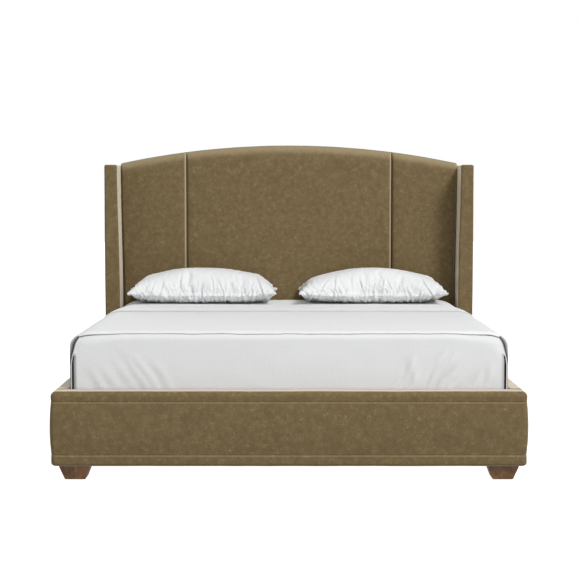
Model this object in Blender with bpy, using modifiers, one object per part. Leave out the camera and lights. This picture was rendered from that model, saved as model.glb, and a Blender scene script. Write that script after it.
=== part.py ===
"""Upholstered king-size bed: arched three-panel headboard with wings, padded rails, slats and bedding.

Frame: metres, +Z up, origin on the floor under the middle of the bed. +Y points to the headboard,
-Y to the footboard, and +X to the right of someone who faces the headboard from the foot end.
"""

import math

import bmesh
import bpy
from mathutils import Matrix, Vector

# ---- driving dimensions -----------------------------------------------------------------------
GAP = 0.0003  # clearance between pieces that touch

MATTRESS_WIDTH = 1.930
MATTRESS_LENGTH = 2.030
MATTRESS_HEIGHT = 0.313
MATTRESS_ROUND = 0.040
MATTRESS_SUNK = 0.065  # below the top of the rails
SHEET_THICK = 0.002
COVERLET_THICK = 0.006
COVERLET_LENGTH = 1.070  # over the top of the mattress, from its foot end
SHEET_HEM_ABOVE_BASE = 0.010
COVERLET_HEM_ABOVE_BASE = 0.025

FOOT_HEIGHT = 0.068  # floor to the underside of the rails, glides included
FOOT_TOP = 0.138
FOOT_BOTTOM = 0.091
FOOT_SETBACK_X = 0.032
FOOT_SETBACK_Y = 0.015
GLIDE_THICK = 0.004
GLIDE_RADIUS = 0.018

RAIL_HEIGHT = 0.332
RAIL_THICK = 0.068
RAIL_SIDE_CLEARANCE = 0.017  # mattress to the inside of each side rail
FOOTBOARD_THICK = 0.085
FOOTBOARD_CLEARANCE = 0.020  # mattress to the inside of the footboard
BOARD_THICK = 0.028  # timber board inside each rail
COVER_LAP = 0.020  # padding above and below each timber board
COVER_ROUND = 0.012

HEADBOARD_CLEARANCE = 0.008  # mattress to the headboard pads
PAD_THICK = 0.060
PAD_ROUND = 0.014
CORE_THICK = 0.036
BACK_COVER_THICK = 0.0034
ARCH_TOP = 1.550
ARCH_RADIUS = 4.750
ARCH_STEPS = 10  # straight steps along the top edge of one pad
CENTRE_PAD_HALF = 0.601

WING_DEPTH = 0.200  # in front of the headboard pads
WING_TOP = 1.435
WING_SIDE_CLEARANCE = 0.010  # mattress to the inner face of each wing
WING_TAPER = 0.014  # how much thinner a wing is at its top
WING_PROUD = 0.008  # outside the side rails
WING_ROUND = 0.010
WING_CORE_THICK = 0.018
WING_LAP = 0.020  # padding in front of, above and below the wing's timber core
WING_KNEE_ABOVE_BED = 0.020  # the wings taper above this height over the bedding

SLAT_COUNT = 12
SLAT_WIDTH = 0.090
SLAT_THICK = 0.018
SLAT_END_MARGIN = 0.040  # first and last slat to the ends of the mattress
LEDGE_WIDTH = 0.040
LEDGE_HEIGHT = 0.040
BEAM_WIDTH = 0.045
BEAM_HEIGHT = 0.070
BEAM_HANGER_WALL = 0.003
BEAM_HANGER_REACH = 0.050
LEG_RADIUS = 0.016
LEG_FLANGE_RADIUS = 0.030
LEG_FLANGE_THICK = 0.004
LEG_COUNT = 3

BRACKET_LEG = 0.050
BRACKET_WALL = 0.004
BRACKET_HEIGHT = 0.080
BRACKET_BELOW_LEDGE = 0.010
BOLT_RADIUS = 0.004
BOLT_CLEARANCE = 0.0004
BOLT_LENGTH = 0.024
BOLT_HEAD_RADIUS = 0.0075
BOLT_HEAD_THICK = 0.0055
BLOCK_SIDE = 0.060
BLOCK_BELOW_BRACKET = 0.024

PILLOW_DEPTH = 0.430
PILLOW_ABOVE_SEAM = 0.124
PILLOW_BELOW_SEAM = 0.070
PILLOW_SEAM_THICK = 0.012
PILLOW_TO_PAD = 0.016
PILLOW_LEFT_TO_WING = 0.0685
PILLOW_RIGHT_TO_WING = 0.0835
PILLOWS_APART = 0.124
PILLOW_CUTS = 11

# ---- places worked out from the sizes ---------------------------------------------------------
TOTAL_LENGTH = (
    FOOTBOARD_THICK + FOOTBOARD_CLEARANCE + MATTRESS_LENGTH + HEADBOARD_CLEARANCE
    + PAD_THICK + CORE_THICK + BACK_COVER_THICK + 2 * GAP
)
FRONT_Y = -TOTAL_LENGTH / 2
BACK_Y = TOTAL_LENGTH / 2
FOOTBOARD_REAR_Y = FRONT_Y + FOOTBOARD_THICK
MATTRESS_FOOT_Y = FOOTBOARD_REAR_Y + FOOTBOARD_CLEARANCE
MATTRESS_HEAD_Y = MATTRESS_FOOT_Y + MATTRESS_LENGTH
PAD_Y = MATTRESS_HEAD_Y + HEADBOARD_CLEARANCE
CORE_Y = PAD_Y + PAD_THICK + GAP
BACK_COVER_Y = CORE_Y + CORE_THICK + GAP
WING_FRONT_Y = PAD_Y - WING_DEPTH

RAIL_BASE_Z = FOOT_HEIGHT
RAIL_TOP_Z = RAIL_BASE_Z + RAIL_HEIGHT
RAIL_INNER_X = MATTRESS_WIDTH / 2 + RAIL_SIDE_CLEARANCE
RAIL_OUTER_X = RAIL_INNER_X + RAIL_THICK
BOARD_BASE_Z = RAIL_BASE_Z + COVER_LAP
BOARD_TOP_Z = RAIL_TOP_Z - COVER_LAP
BOARD_OUTER_X = RAIL_INNER_X + BOARD_THICK
WING_OUTER_X = RAIL_OUTER_X + WING_PROUD
WING_INNER_X = MATTRESS_WIDTH / 2 + WING_SIDE_CLEARANCE
WING_CORE_X = (BOARD_OUTER_X + WING_OUTER_X) / 2
PAD_BASE_Z = BOARD_TOP_Z + GAP
PAD_OUTER_GAP = 0.0005  # side pads to the wings

MATTRESS_BASE_Z = RAIL_TOP_Z - MATTRESS_SUNK
MATTRESS_TOP_Z = MATTRESS_BASE_Z + MATTRESS_HEIGHT
SLAT_TOP_Z = MATTRESS_BASE_Z - GAP
SLAT_BASE_Z = SLAT_TOP_Z - SLAT_THICK
LEDGE_TOP_Z = SLAT_BASE_Z - GAP
LEDGE_BASE_Z = LEDGE_TOP_Z - LEDGE_HEIGHT
BEAM_BASE_Z = LEDGE_TOP_Z - BEAM_HEIGHT
BEDDING_TOP_Z = MATTRESS_TOP_Z + GAP + SHEET_THICK
WING_KNEE_Z = BEDDING_TOP_Z + WING_KNEE_ABOVE_BED
BRACKET_TOP_Z = LEDGE_BASE_Z - BRACKET_BELOW_LEDGE
BRACKET_BASE_Z = BRACKET_TOP_Z - BRACKET_HEIGHT
BEHIND = 0.05  # how far a cutter runs out past an open face
BED = "upholstered_headboard_bed"
CUTTERS = "cutters"


def linear(hex_colour):
    """Linear RGBA of an sRGB colour written as RRGGBB."""
    channels = [int(hex_colour[i : i + 2], 16) / 255 for i in (0, 2, 4)]
    return [c / 12.92 if c <= 0.04045 else ((c + 0.055) / 1.055) ** 2.4 for c in channels] + [1.0]


def material(name, hex_colour, roughness, metallic=0.0):
    made = bpy.data.materials.new(name)
    made.use_nodes = True
    shader = made.node_tree.nodes["Principled BSDF"]
    shader.inputs["Base Color"].default_value = linear(hex_colour)
    shader.inputs["Roughness"].default_value = roughness
    shader.inputs["Metallic"].default_value = metallic
    made.diffuse_color = linear(hex_colour)
    return made


def clear_scene():
    for obj in list(bpy.data.objects):
        bpy.data.objects.remove(obj, do_unlink=True)


def new_collection(name):
    bpy.context.scene.collection.children.link(bpy.data.collections.new(name))


def add_object(name, mesh, finish):
    obj = bpy.data.objects.new(name, mesh)
    mesh.materials.clear()
    mesh.materials.append(finish)
    bpy.data.collections[BED].objects.link(obj)
    return obj


def mesh_from(shape, name):
    mesh = bpy.data.meshes.new(name)
    shape.to_mesh(mesh)
    shape.free()
    return mesh


def box_shape(low, high):
    """A bmesh box between two corners."""
    shape = bmesh.new()
    bmesh.ops.create_cube(shape, size=1.0)
    size = [b - a for a, b in zip(low, high)]
    centre = [(a + b) / 2 for a, b in zip(low, high)]
    bmesh.ops.transform(
        shape, matrix=Matrix.Translation(centre) @ Matrix.Diagonal((*size, 1.0)), verts=shape.verts
    )
    return shape


def round_edges(obj, width, segments=3):
    bevel = obj.modifiers.new("Rounded edges", "BEVEL")
    bevel.width = width
    bevel.segments = segments
    bevel.limit_method = "ANGLE"
    bevel.angle_limit = math.radians(30)
    obj.data.shade_smooth()
    obj.data.set_sharp_from_angle(angle=math.radians(35))


def box(name, low, high, finish, rounding=0.0, segments=2):
    obj = add_object(name, mesh_from(box_shape(low, high), name), finish)
    if rounding:
        round_edges(obj, rounding, segments)
    return obj


def prism(name, outline, start, depth, finish, plane="XZ"):
    """A flat outline given depth: along +Y from start for plane XZ, along +Z for plane XY."""
    curve = bpy.data.curves.new(name, "CURVE")
    curve.dimensions = "2D"
    curve.fill_mode = "BOTH"
    curve.extrude = depth / 2
    spline = curve.splines.new("POLY")
    spline.points.add(len(outline) - 1)
    for point, (across, up) in zip(spline.points, outline):
        point.co = (across, up, 0.0, 1.0)
    spline.use_cyclic_u = True
    drawn = bpy.data.objects.new(name + "_outline", curve)
    bpy.data.collections[CUTTERS].objects.link(drawn)
    bpy.context.view_layer.update()
    mesh = bpy.data.meshes.new_from_object(drawn.evaluated_get(bpy.context.evaluated_depsgraph_get()))
    bpy.data.objects.remove(drawn, do_unlink=True)
    shape = bmesh.new()
    shape.from_mesh(mesh)
    bmesh.ops.remove_doubles(shape, verts=shape.verts, dist=0.00005)
    bmesh.ops.dissolve_limit(shape, angle_limit=math.radians(0.2), verts=shape.verts, edges=shape.edges)
    if plane == "XZ":
        place = Matrix.Translation((0, start + depth / 2, 0)) @ Matrix.Rotation(math.pi / 2, 4, "X")
    else:
        place = Matrix.Translation((0, 0, start + depth / 2))
    bmesh.ops.transform(shape, matrix=place, verts=shape.verts)
    bmesh.ops.recalc_face_normals(shape, faces=shape.faces)
    shape.to_mesh(mesh)
    shape.free()
    mesh.name = name
    return add_object(name, mesh, finish)


def cut(obj, cutter_name, cutter_mesh):
    """Take cutter_mesh away from obj."""
    cutter = bpy.data.objects.new(cutter_name, cutter_mesh)
    cutter.hide_render = True
    cutter.display_type = "WIRE"
    bpy.data.collections[CUTTERS].objects.link(cutter)
    boolean = obj.modifiers.new(cutter_name, "BOOLEAN")
    boolean.operation = "DIFFERENCE"
    boolean.solver = "EXACT"
    boolean.object = cutter


def turned(name, profile, centre, finish, steps=24):
    """A turned piece about a vertical axis: profile is (radius, height), down its outer side."""
    mesh = bpy.data.meshes.new(name)
    points = [(radius, 0.0, height) for radius, height in profile]
    mesh.from_pydata(points, [(i, i + 1) for i in range(len(points) - 1)], [])
    obj = add_object(name, mesh, finish)
    obj.location = centre
    screw = obj.modifiers.new("Turned", "SCREW")
    screw.steps = steps
    screw.render_steps = steps
    screw.use_merge_vertices = True
    screw.merge_threshold = 0.00005
    return obj


def rod_shape(radius, start, end, x, z, sides):
    """A bmesh rod along Y between start and end."""
    shape = bmesh.new()
    length = end - start
    place = Matrix.Translation((x, (start + end) / 2, z)) @ Matrix.Rotation(math.pi / 2, 4, "X")
    bmesh.ops.create_cone(
        shape, cap_ends=True, segments=sides, radius1=radius, radius2=radius, depth=length, matrix=place
    )
    return shape


def tucked_shell(name, low, high, rounding, thickness, finish, open_head=False):
    """Cloth over a block between two corners, open below and, if asked, on its head side."""
    shape = box_shape(low, high)
    shape.faces.ensure_lookup_table()
    opened = [f for f in shape.faces if f.normal.z < -0.9 or (open_head and f.normal.y > 0.9)]
    bmesh.ops.delete(shape, geom=opened, context="FACES")
    obj = add_object(name, mesh_from(shape, name), finish)
    round_edges(obj, rounding, 4)
    cloth = obj.modifiers.new("Cloth thickness", "SOLIDIFY")
    cloth.thickness = thickness
    cloth.offset = 1.0
    cloth.use_even_offset = True
    return obj


def arch_z(x):
    """Height of the headboard's top edge at x."""
    return ARCH_TOP - ARCH_RADIUS + math.sqrt(ARCH_RADIUS**2 - x**2)


def wing_inner_x(z):
    """Where a wing's inner face is at height z, for the wing at +X."""
    share = min(max((z - WING_KNEE_Z) / (WING_TOP - WING_KNEE_Z), 0.0), 1.0)
    return WING_INNER_X + share * WING_TAPER


def wing_side(sign, base):
    """The edge of a headboard panel against a wing, from the bottom up."""
    points = [(sign * (wing_inner_x(z) - PAD_OUTER_GAP), z) for z in (base, WING_KNEE_Z)]
    top_x = sign * (wing_inner_x(arch_z(wing_inner_x(WING_TOP))) - PAD_OUTER_GAP)
    return [*points, (top_x, arch_z(top_x))]


def seam_side(x, base):
    """The upright edge of a pad at a seam, from the bottom up."""
    return [(x, base), (x, arch_z(x))]


def under_arch(left, right, steps=ARCH_STEPS):
    """Outline up the right edge, back along the arch and down the left edge."""
    start, end = right[-1][0], left[-1][0]
    places = [start + (end - start) * i / steps for i in range(1, steps)]
    return [*right, *((x, arch_z(x)) for x in places), *reversed(left)]


def make_headboard(finishes):
    base = PAD_BASE_Z
    seam = CENTRE_PAD_HALF
    pads = {
        "headboard_pad_left": (wing_side(-1, base), seam_side(-seam - GAP, base)),
        "headboard_pad_centre": (seam_side(-seam, base), seam_side(seam, base)),
        "headboard_pad_right": (seam_side(seam + GAP, base), wing_side(1, base)),
    }
    for name, sides in pads.items():
        pad = prism(name, under_arch(*sides), PAD_Y, PAD_THICK, finishes["velvet"])
        round_edges(pad, PAD_ROUND, 3)

    outline = under_arch(wing_side(-1, RAIL_BASE_Z), wing_side(1, RAIL_BASE_Z), 3 * ARCH_STEPS)
    prism("headboard_core", outline, CORE_Y, CORE_THICK, finishes["timber"])

    top_x = wing_inner_x(WING_TOP)
    left, right = (
        [(sign * WING_OUTER_X, RAIL_BASE_Z), (sign * WING_OUTER_X, WING_TOP), (sign * top_x, arch_z(top_x))]
        for sign in (-1, 1)
    )
    outline = under_arch(left, right, 3 * ARCH_STEPS)
    prism("headboard_back_cover", outline, BACK_COVER_Y, BACK_COVER_THICK, finishes["back_cloth"])

    low = (-BOARD_OUTER_X, PAD_Y, RAIL_BASE_Z)
    high = (BOARD_OUTER_X, PAD_Y + PAD_THICK, BOARD_TOP_Z)
    return box("headboard_lower_rail", low, high, finishes["timber"])


def make_wings(finishes):
    for side, sign in (("left", -1), ("right", 1)):
        outline = [
            (WING_INNER_X, RAIL_BASE_Z), (WING_OUTER_X, RAIL_BASE_Z), (WING_OUTER_X, WING_TOP),
            (wing_inner_x(WING_TOP), WING_TOP), (WING_INNER_X, WING_KNEE_Z),
        ]
        outline = [(sign * x, z) for x, z in outline]
        depth = BACK_COVER_Y - GAP - WING_FRONT_Y
        cover = prism(f"wing_cover_{side}", outline, WING_FRONT_Y, depth, finishes["velvet"])
        round_edges(cover, WING_ROUND, 3)
        low = (WING_INNER_X - BEHIND, WING_FRONT_Y - BEHIND, RAIL_BASE_Z - BEHIND)
        high = (BOARD_OUTER_X + GAP, BACK_COVER_Y + BEHIND, BOARD_TOP_Z + GAP)
        cut_box(cover, f"rail_notch_{side}", sign, low, high)
        low = (WING_CORE_X - WING_CORE_THICK / 2, WING_FRONT_Y + WING_LAP, RAIL_BASE_Z + WING_LAP)
        high = (WING_CORE_X + WING_CORE_THICK / 2, BACK_COVER_Y - GAP, WING_TOP - WING_LAP)
        add_core(f"wing_core_{side}", cover, sign, low, high, (0, 0, 0), (0, 1, 0), finishes["timber"])


def mirrored(sign, low, high):
    """The corners of a box for the side that sign gives, from those for +X."""
    if sign > 0:
        return low, high
    return (-high[0], *low[1:]), (-low[0], *high[1:])


def cut_box(obj, name, sign, low, high):
    """Take a box away from obj, mirrored to the side that sign gives."""
    cut(obj, name, mesh_from(box_shape(*mirrored(sign, low, high)), name))


def add_core(name, cover, sign, low, high, open_low, open_high, finish):
    """A timber board and the pocket for it in cover, which runs out past each open face."""
    pocket_low = [a - GAP - BEHIND * way for a, way in zip(low, open_low)]
    pocket_high = [b + GAP + BEHIND * way for b, way in zip(high, open_high)]
    cut_box(cover, name + "_pocket", sign, pocket_low, pocket_high)
    return box(name, *mirrored(sign, low, high), finish)


def make_side_rails(finishes):
    start = FOOTBOARD_REAR_Y + GAP
    for side, sign in (("left", -1), ("right", 1)):
        low = (RAIL_INNER_X, start, RAIL_BASE_Z)
        high = (RAIL_OUTER_X, WING_FRONT_Y - GAP, RAIL_TOP_Z)
        cover = box(
            f"side_cover_{side}", *mirrored(sign, low, high), finishes["velvet"], COVER_ROUND, 3
        )
        low = (RAIL_INNER_X, start, BOARD_BASE_Z)
        high = (BOARD_OUTER_X, PAD_Y - GAP, BOARD_TOP_Z)
        name = f"side_board_{side}"
        add_core(name, cover, sign, low, high, (1, 1, 0), (0, 1, 0), finishes["timber"])
        low = (RAIL_INNER_X - GAP - LEDGE_WIDTH, start, LEDGE_BASE_Z)
        high = (RAIL_INNER_X - GAP, PAD_Y - GAP, LEDGE_TOP_Z)
        box(f"slat_ledge_{side}", *mirrored(sign, low, high), finishes["timber"])


def make_footboard(finishes):
    half = RAIL_OUTER_X
    low = (-half, FRONT_Y, RAIL_BASE_Z)
    high = (half, FOOTBOARD_REAR_Y, RAIL_TOP_Z)
    cover = box("footboard_cover", low, high, finishes["velvet"], COVER_ROUND, 3)
    half = RAIL_OUTER_X - COVER_LAP
    low = (-half, FOOTBOARD_REAR_Y - BOARD_THICK, BOARD_BASE_Z)
    high = (half, FOOTBOARD_REAR_Y, BOARD_TOP_Z)
    return add_core(
        "footboard_board", cover, 1, low, high, (0, 0, 0), (0, 1, 0), finishes["timber"]
    )


def make_feet(finishes):
    x = RAIL_OUTER_X - FOOT_SETBACK_X - FOOT_TOP / 2
    reach = FOOT_SETBACK_Y + FOOT_TOP / 2
    top = RAIL_BASE_Z - GAP
    base = GLIDE_THICK + GAP
    for end, y in (("front", FRONT_Y + reach), ("rear", BACK_Y - reach)):
        for side, sign in (("left", -1), ("right", 1)):
            shape = bmesh.new()
            place = Matrix.Translation((sign * x, y, (top + base) / 2)) @ Matrix.Rotation(math.pi / 4, 4, "Z")
            bmesh.ops.create_cone(
                shape, cap_ends=True, segments=4, radius1=FOOT_BOTTOM / math.sqrt(2),
                radius2=FOOT_TOP / math.sqrt(2), depth=top - base, matrix=place,
            )
            foot = add_object(f"foot_{end}_{side}", mesh_from(shape, "foot"), finishes["brown_wood"])
            round_edges(foot, 0.004, 2)
            profile = [(0.0, GLIDE_THICK), (GLIDE_RADIUS, GLIDE_THICK), (GLIDE_RADIUS, 0.0), (0.0, 0.0)]
            turned(f"glide_{end}_{side}", profile, (sign * x, y, 0.0), finishes["glide_plastic"])


def make_slat_base(finishes):
    half = BEAM_WIDTH / 2
    start = FOOTBOARD_REAR_Y + GAP
    end = PAD_Y - GAP
    wall = BEAM_HANGER_WALL
    box(
        "centre_beam", (-half, start + wall + GAP, BEAM_BASE_Z), (half, end - wall - GAP, LEDGE_TOP_Z),
        finishes["timber"],
    )
    for place, low_y, high_y in (
        ("foot", start, start + BEAM_HANGER_REACH), ("head", end - BEAM_HANGER_REACH, end),
    ):
        outer = half + GAP + wall
        hanger = box(
            f"beam_hanger_{place}", (-outer, low_y, BEAM_BASE_Z - GAP - wall), (outer, high_y, LEDGE_TOP_Z),
            finishes["steel"],
        )
        low = (-half - GAP, start + wall, BEAM_BASE_Z - GAP)
        high = (half + GAP, end - wall, LEDGE_TOP_Z + BEHIND)
        cut_box(hanger, hanger.name + "_seat", 1, low, high)

    span = end - start
    top = BEAM_BASE_Z - GAP
    for i in range(LEG_COUNT):
        y = start + span * (i + 1) / (LEG_COUNT + 1)
        profile = [
            (0.0, top), (LEG_FLANGE_RADIUS, top), (LEG_FLANGE_RADIUS, top - LEG_FLANGE_THICK),
            (LEG_RADIUS, top - LEG_FLANGE_THICK), (LEG_RADIUS, 0.0), (0.0, 0.0),
        ]
        turned(f"centre_leg_{i + 1}", profile, (0.0, y, 0.0), finishes["steel"])

    first = MATTRESS_FOOT_Y + SLAT_END_MARGIN + SLAT_WIDTH / 2
    last = MATTRESS_HEAD_Y - SLAT_END_MARGIN - SLAT_WIDTH / 2
    half = MATTRESS_WIDTH / 2
    for i in range(SLAT_COUNT):
        y = first + (last - first) * i / (SLAT_COUNT - 1)
        low = (-half, y - SLAT_WIDTH / 2, SLAT_BASE_Z)
        high = (half, y + SLAT_WIDTH / 2, SLAT_TOP_Z)
        box(f"slat_{i + 1:02d}", low, high, finishes["timber"], 0.003, 1)


def make_corner_hardware(finishes, end_boards):
    """L brackets in the four corners, their bolts, and the blocks over the front feet."""
    corner_x = RAIL_INNER_X - GAP
    bolt_z = (BRACKET_BASE_Z + BRACKET_TOP_Z) / 2
    ends = (("foot", FOOTBOARD_REAR_Y, 1), ("head", PAD_Y, -1))
    for end, face_y, inward in ends:
        for side, sign in (("left", -1), ("right", 1)):
            corner_y = face_y + inward * GAP
            steps_x = (0.0, BRACKET_LEG, BRACKET_LEG, BRACKET_WALL, BRACKET_WALL, 0.0)
            steps_y = (0.0, 0.0, BRACKET_WALL, BRACKET_WALL, BRACKET_LEG, BRACKET_LEG)
            outline = [
                (sign * (corner_x - dx), corner_y + inward * dy) for dx, dy in zip(steps_x, steps_y)
            ]
            name = f"rail_bracket_{end}_{side}"
            bracket = prism(name, outline, BRACKET_BASE_Z, BRACKET_HEIGHT, finishes["steel"], "XY")
            bolt_x = sign * (corner_x - BRACKET_LEG / 2 - BRACKET_WALL / 2)
            head_y = corner_y + inward * (BRACKET_WALL + GAP)
            tip_y = head_y - inward * BOLT_LENGTH
            hole = (BOLT_RADIUS + BOLT_CLEARANCE, *sorted((head_y + inward * 0.01, tip_y - inward * 0.001)))
            for target in (bracket, end_boards[end]):
                cutter = f"{name}_hole_in_{target.name}"
                cut(target, cutter, mesh_from(rod_shape(*hole, bolt_x, bolt_z, 20), cutter))
            make_bolt(f"bracket_bolt_{end}_{side}", head_y, inward, bolt_x, bolt_z, finishes["steel"])

    for side, sign in (("left", -1), ("right", 1)):
        low = (corner_x - BLOCK_SIDE, FOOTBOARD_REAR_Y + GAP, RAIL_BASE_Z)
        high = (
            corner_x, FOOTBOARD_REAR_Y + GAP + BLOCK_SIDE, BRACKET_BASE_Z - BLOCK_BELOW_BRACKET
        )
        box(f"corner_block_{side}", *mirrored(sign, low, high), finishes["timber"])


def make_bolt(name, head_y, inward, x, z, finish):
    """A hexagon bolt along Y: its shank runs from the head's seat into the board."""
    tip_y = head_y - inward * BOLT_LENGTH
    under_head = head_y + inward * BOLT_HEAD_THICK / 2
    shank = rod_shape(BOLT_RADIUS, *sorted((under_head, tip_y)), x, z, 20)
    bolt = add_object(name, mesh_from(shank, name), finish)
    head_name = name + "_head"
    head = rod_shape(BOLT_HEAD_RADIUS, *sorted((head_y, head_y + inward * BOLT_HEAD_THICK)), x, z, 6)
    joined = bpy.data.objects.new(head_name, mesh_from(head, head_name))
    joined.hide_render = True
    joined.display_type = "WIRE"
    bpy.data.collections[CUTTERS].objects.link(joined)
    union = bolt.modifiers.new("Head", "BOOLEAN")
    union.operation = "UNION"
    union.solver = "EXACT"
    union.object = joined


def make_bedding(finishes):
    half = MATTRESS_WIDTH / 2
    low = (-half, MATTRESS_FOOT_Y, MATTRESS_BASE_Z)
    high = (half, MATTRESS_HEAD_Y, MATTRESS_TOP_Z)
    box("mattress", low, high, finishes["ticking"], MATTRESS_ROUND, 4)

    straight_z = MATTRESS_BASE_Z + MATTRESS_ROUND
    low = (-half - GAP, MATTRESS_FOOT_Y - GAP, straight_z + SHEET_HEM_ABOVE_BASE)
    high = (half + GAP, MATTRESS_HEAD_Y + GAP, MATTRESS_TOP_Z + GAP)
    tucked_shell("fitted_sheet", low, high, MATTRESS_ROUND + GAP, SHEET_THICK, finishes["cotton"])

    around = 2 * GAP + SHEET_THICK
    low = (-half - around, MATTRESS_FOOT_Y - around, straight_z + COVERLET_HEM_ABOVE_BASE)
    high = (half + around, MATTRESS_FOOT_Y + COVERLET_LENGTH, MATTRESS_TOP_Z + around)
    rounding = MATTRESS_ROUND + around
    tucked_shell("coverlet", low, high, rounding, COVERLET_THICK, finishes["cotton"], open_head=True)


def pillow_point(u, v, w, width):
    """Place on the pillow, from its own middle at seam height, for -1..1 across, along and up."""
    fullness = ((1 - abs(u) ** 2.4) * (1 - abs(v) ** 2.4)) ** 0.5
    if w > 0:
        z = PILLOW_SEAM_THICK / 2 + (PILLOW_ABOVE_SEAM - PILLOW_SEAM_THICK / 2) * fullness
    else:
        share = min(1.0, 1.3 * fullness)
        z = -PILLOW_SEAM_THICK / 2 - (PILLOW_BELOW_SEAM - PILLOW_SEAM_THICK / 2) * share
    pull_x = 1 - 0.035 * (1 - v**2) * abs(u) ** 3
    pull_y = 1 - 0.050 * (1 - u**2) * abs(v) ** 3
    return Vector((u * width / 2 * pull_x, v * PILLOW_DEPTH / 2 * pull_y, z))


def make_pillows(finishes):
    y = PAD_Y - PILLOW_TO_PAD - PILLOW_DEPTH / 2
    z = BEDDING_TOP_Z + GAP + PILLOW_BELOW_SEAM
    left = PILLOW_LEFT_TO_WING - WING_INNER_X
    right = WING_INNER_X - PILLOW_RIGHT_TO_WING
    width = (right - left - PILLOWS_APART) / 2
    for name, x in (("pillow_left", left + width / 2), ("pillow_right", right - width / 2)):
        shape = bmesh.new()
        bmesh.ops.create_cube(shape, size=2.0)
        flat_edges = [e for e in shape.edges if abs(e.verts[0].co.z - e.verts[1].co.z) < 0.1]
        bmesh.ops.subdivide_edges(shape, edges=flat_edges, cuts=PILLOW_CUTS, use_grid_fill=True)
        for vert in shape.verts:
            vert.co = pillow_point(*vert.co, width)
        pillow = add_object(name, mesh_from(shape, name), finishes["cotton"])
        pillow.location = (x, y, z)
        pillow.data.shade_smooth()


def main():
    clear_scene()
    new_collection(BED)
    new_collection(CUTTERS)
    finishes = {
        "velvet": material("olive_brown_velvet", "6F5F44", 0.85),
        "back_cloth": material("back_dust_cloth", "4C4234", 0.9),
        "timber": material("pine_timber", "C8A878", 0.6),
        "brown_wood": material("stained_brown_wood", "684A37", 0.45),
        "glide_plastic": material("glide_plastic", "2B2926", 0.5),
        "steel": material("black_painted_steel", "2E2E30", 0.4, 0.3),
        "ticking": material("mattress_ticking", "E2E0DB", 0.8),
        "cotton": material("white_cotton", "E2E2E2", 0.8),
    }
    lower_rail = make_headboard(finishes)
    make_wings(finishes)
    make_side_rails(finishes)
    footboard_board = make_footboard(finishes)
    make_feet(finishes)
    make_slat_base(finishes)
    make_corner_hardware(finishes, {"foot": footboard_board, "head": lower_rail})
    make_bedding(finishes)
    make_pillows(finishes)


main()
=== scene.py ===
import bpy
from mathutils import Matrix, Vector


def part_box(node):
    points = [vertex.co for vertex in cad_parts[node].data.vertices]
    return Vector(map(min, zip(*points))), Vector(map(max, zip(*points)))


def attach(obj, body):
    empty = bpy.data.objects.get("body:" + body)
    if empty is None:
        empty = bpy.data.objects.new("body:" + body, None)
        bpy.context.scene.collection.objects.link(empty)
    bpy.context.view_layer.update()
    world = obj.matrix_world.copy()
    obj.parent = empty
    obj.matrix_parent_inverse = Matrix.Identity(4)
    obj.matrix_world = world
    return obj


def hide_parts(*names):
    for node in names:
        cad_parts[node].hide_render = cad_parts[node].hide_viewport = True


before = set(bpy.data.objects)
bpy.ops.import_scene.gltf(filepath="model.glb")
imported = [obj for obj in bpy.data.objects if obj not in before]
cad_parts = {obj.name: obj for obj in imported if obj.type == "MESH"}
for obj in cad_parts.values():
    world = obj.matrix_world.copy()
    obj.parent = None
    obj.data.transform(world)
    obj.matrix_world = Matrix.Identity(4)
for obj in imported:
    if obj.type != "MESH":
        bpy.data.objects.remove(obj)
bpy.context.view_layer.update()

"""Looks of a king-size upholstered bed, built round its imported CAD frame.

Metres, +Z up, the headboard at +Y. Every class below is one sub-assembly or one finish. The CAD frame gives
all places: a node that is hard keeps its CAD shape and gets a finish, a soft one is replaced by a sewn piece.
"""

import logging
import math
from dataclasses import dataclass, field
from enum import Enum
from typing import Callable, Sequence

import bmesh
import bpy
import numpy as np
from mathutils import Matrix, Vector, noise

LOG = logging.getLogger("bed")
MM = 0.001
Shift = Callable[[np.ndarray, np.ndarray], np.ndarray]


class Side(Enum):
    """A side of the bed, seen from the foot end: the value is the sign of its X."""

    LEFT = -1
    RIGHT = 1

    @property
    def word(self) -> str:
        """The side's name as the nodes spell it."""
        return self.name.lower()


# ---- colours and nodes ------------------------------------------------------------------------
def linear(colour: str) -> tuple[float, float, float, float]:
    """Turn an sRGB colour into linear light.

    Args:
        colour: six hex digits, RRGGBB.

    Returns:
        Linear red, green, blue and an alpha of 1.
    """
    parts = [int(colour[i : i + 2], 16) / 255 for i in (0, 2, 4)]
    return (*(c / 12.92 if c <= 0.04045 else ((c + 0.055) / 1.055) ** 2.4 for c in parts), 1.0)


def add_node(
    tree: bpy.types.NodeTree, kind: str, inputs: dict | None = None, **settings: object
) -> bpy.types.Node:
    """Add one shader node.

    Args:
        tree: the node tree it goes in.
        kind: the node's type name.
        inputs: socket name or number to a value, or to another node's output socket, which is linked.
        settings: attributes of the node itself.

    Returns:
        The node.
    """
    node = tree.nodes.new(kind)
    for name, value in settings.items():
        setattr(node, name, value)
    for name, value in (inputs or {}).items():
        if isinstance(value, bpy.types.NodeSocket):
            tree.links.new(value, node.inputs[name])
        else:
            node.inputs[name].default_value = value
    return node


Start = tuple[bpy.types.Material, bpy.types.NodeTree, bpy.types.Node, bpy.types.NodeSocket]


def start_material(name: str) -> Start:
    """Make a material with its Principled shader and the place of each point on the object, in metres.

    Args:
        name: the material's name.

    Returns:
        The material, its node tree, its shader and the place.
    """
    made = bpy.data.materials.new(name)
    made.use_nodes = True
    tree = made.node_tree
    place = add_node(tree, "ShaderNodeTexCoord").outputs["Object"]
    return made, tree, tree.nodes["Principled BSDF"], place


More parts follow.
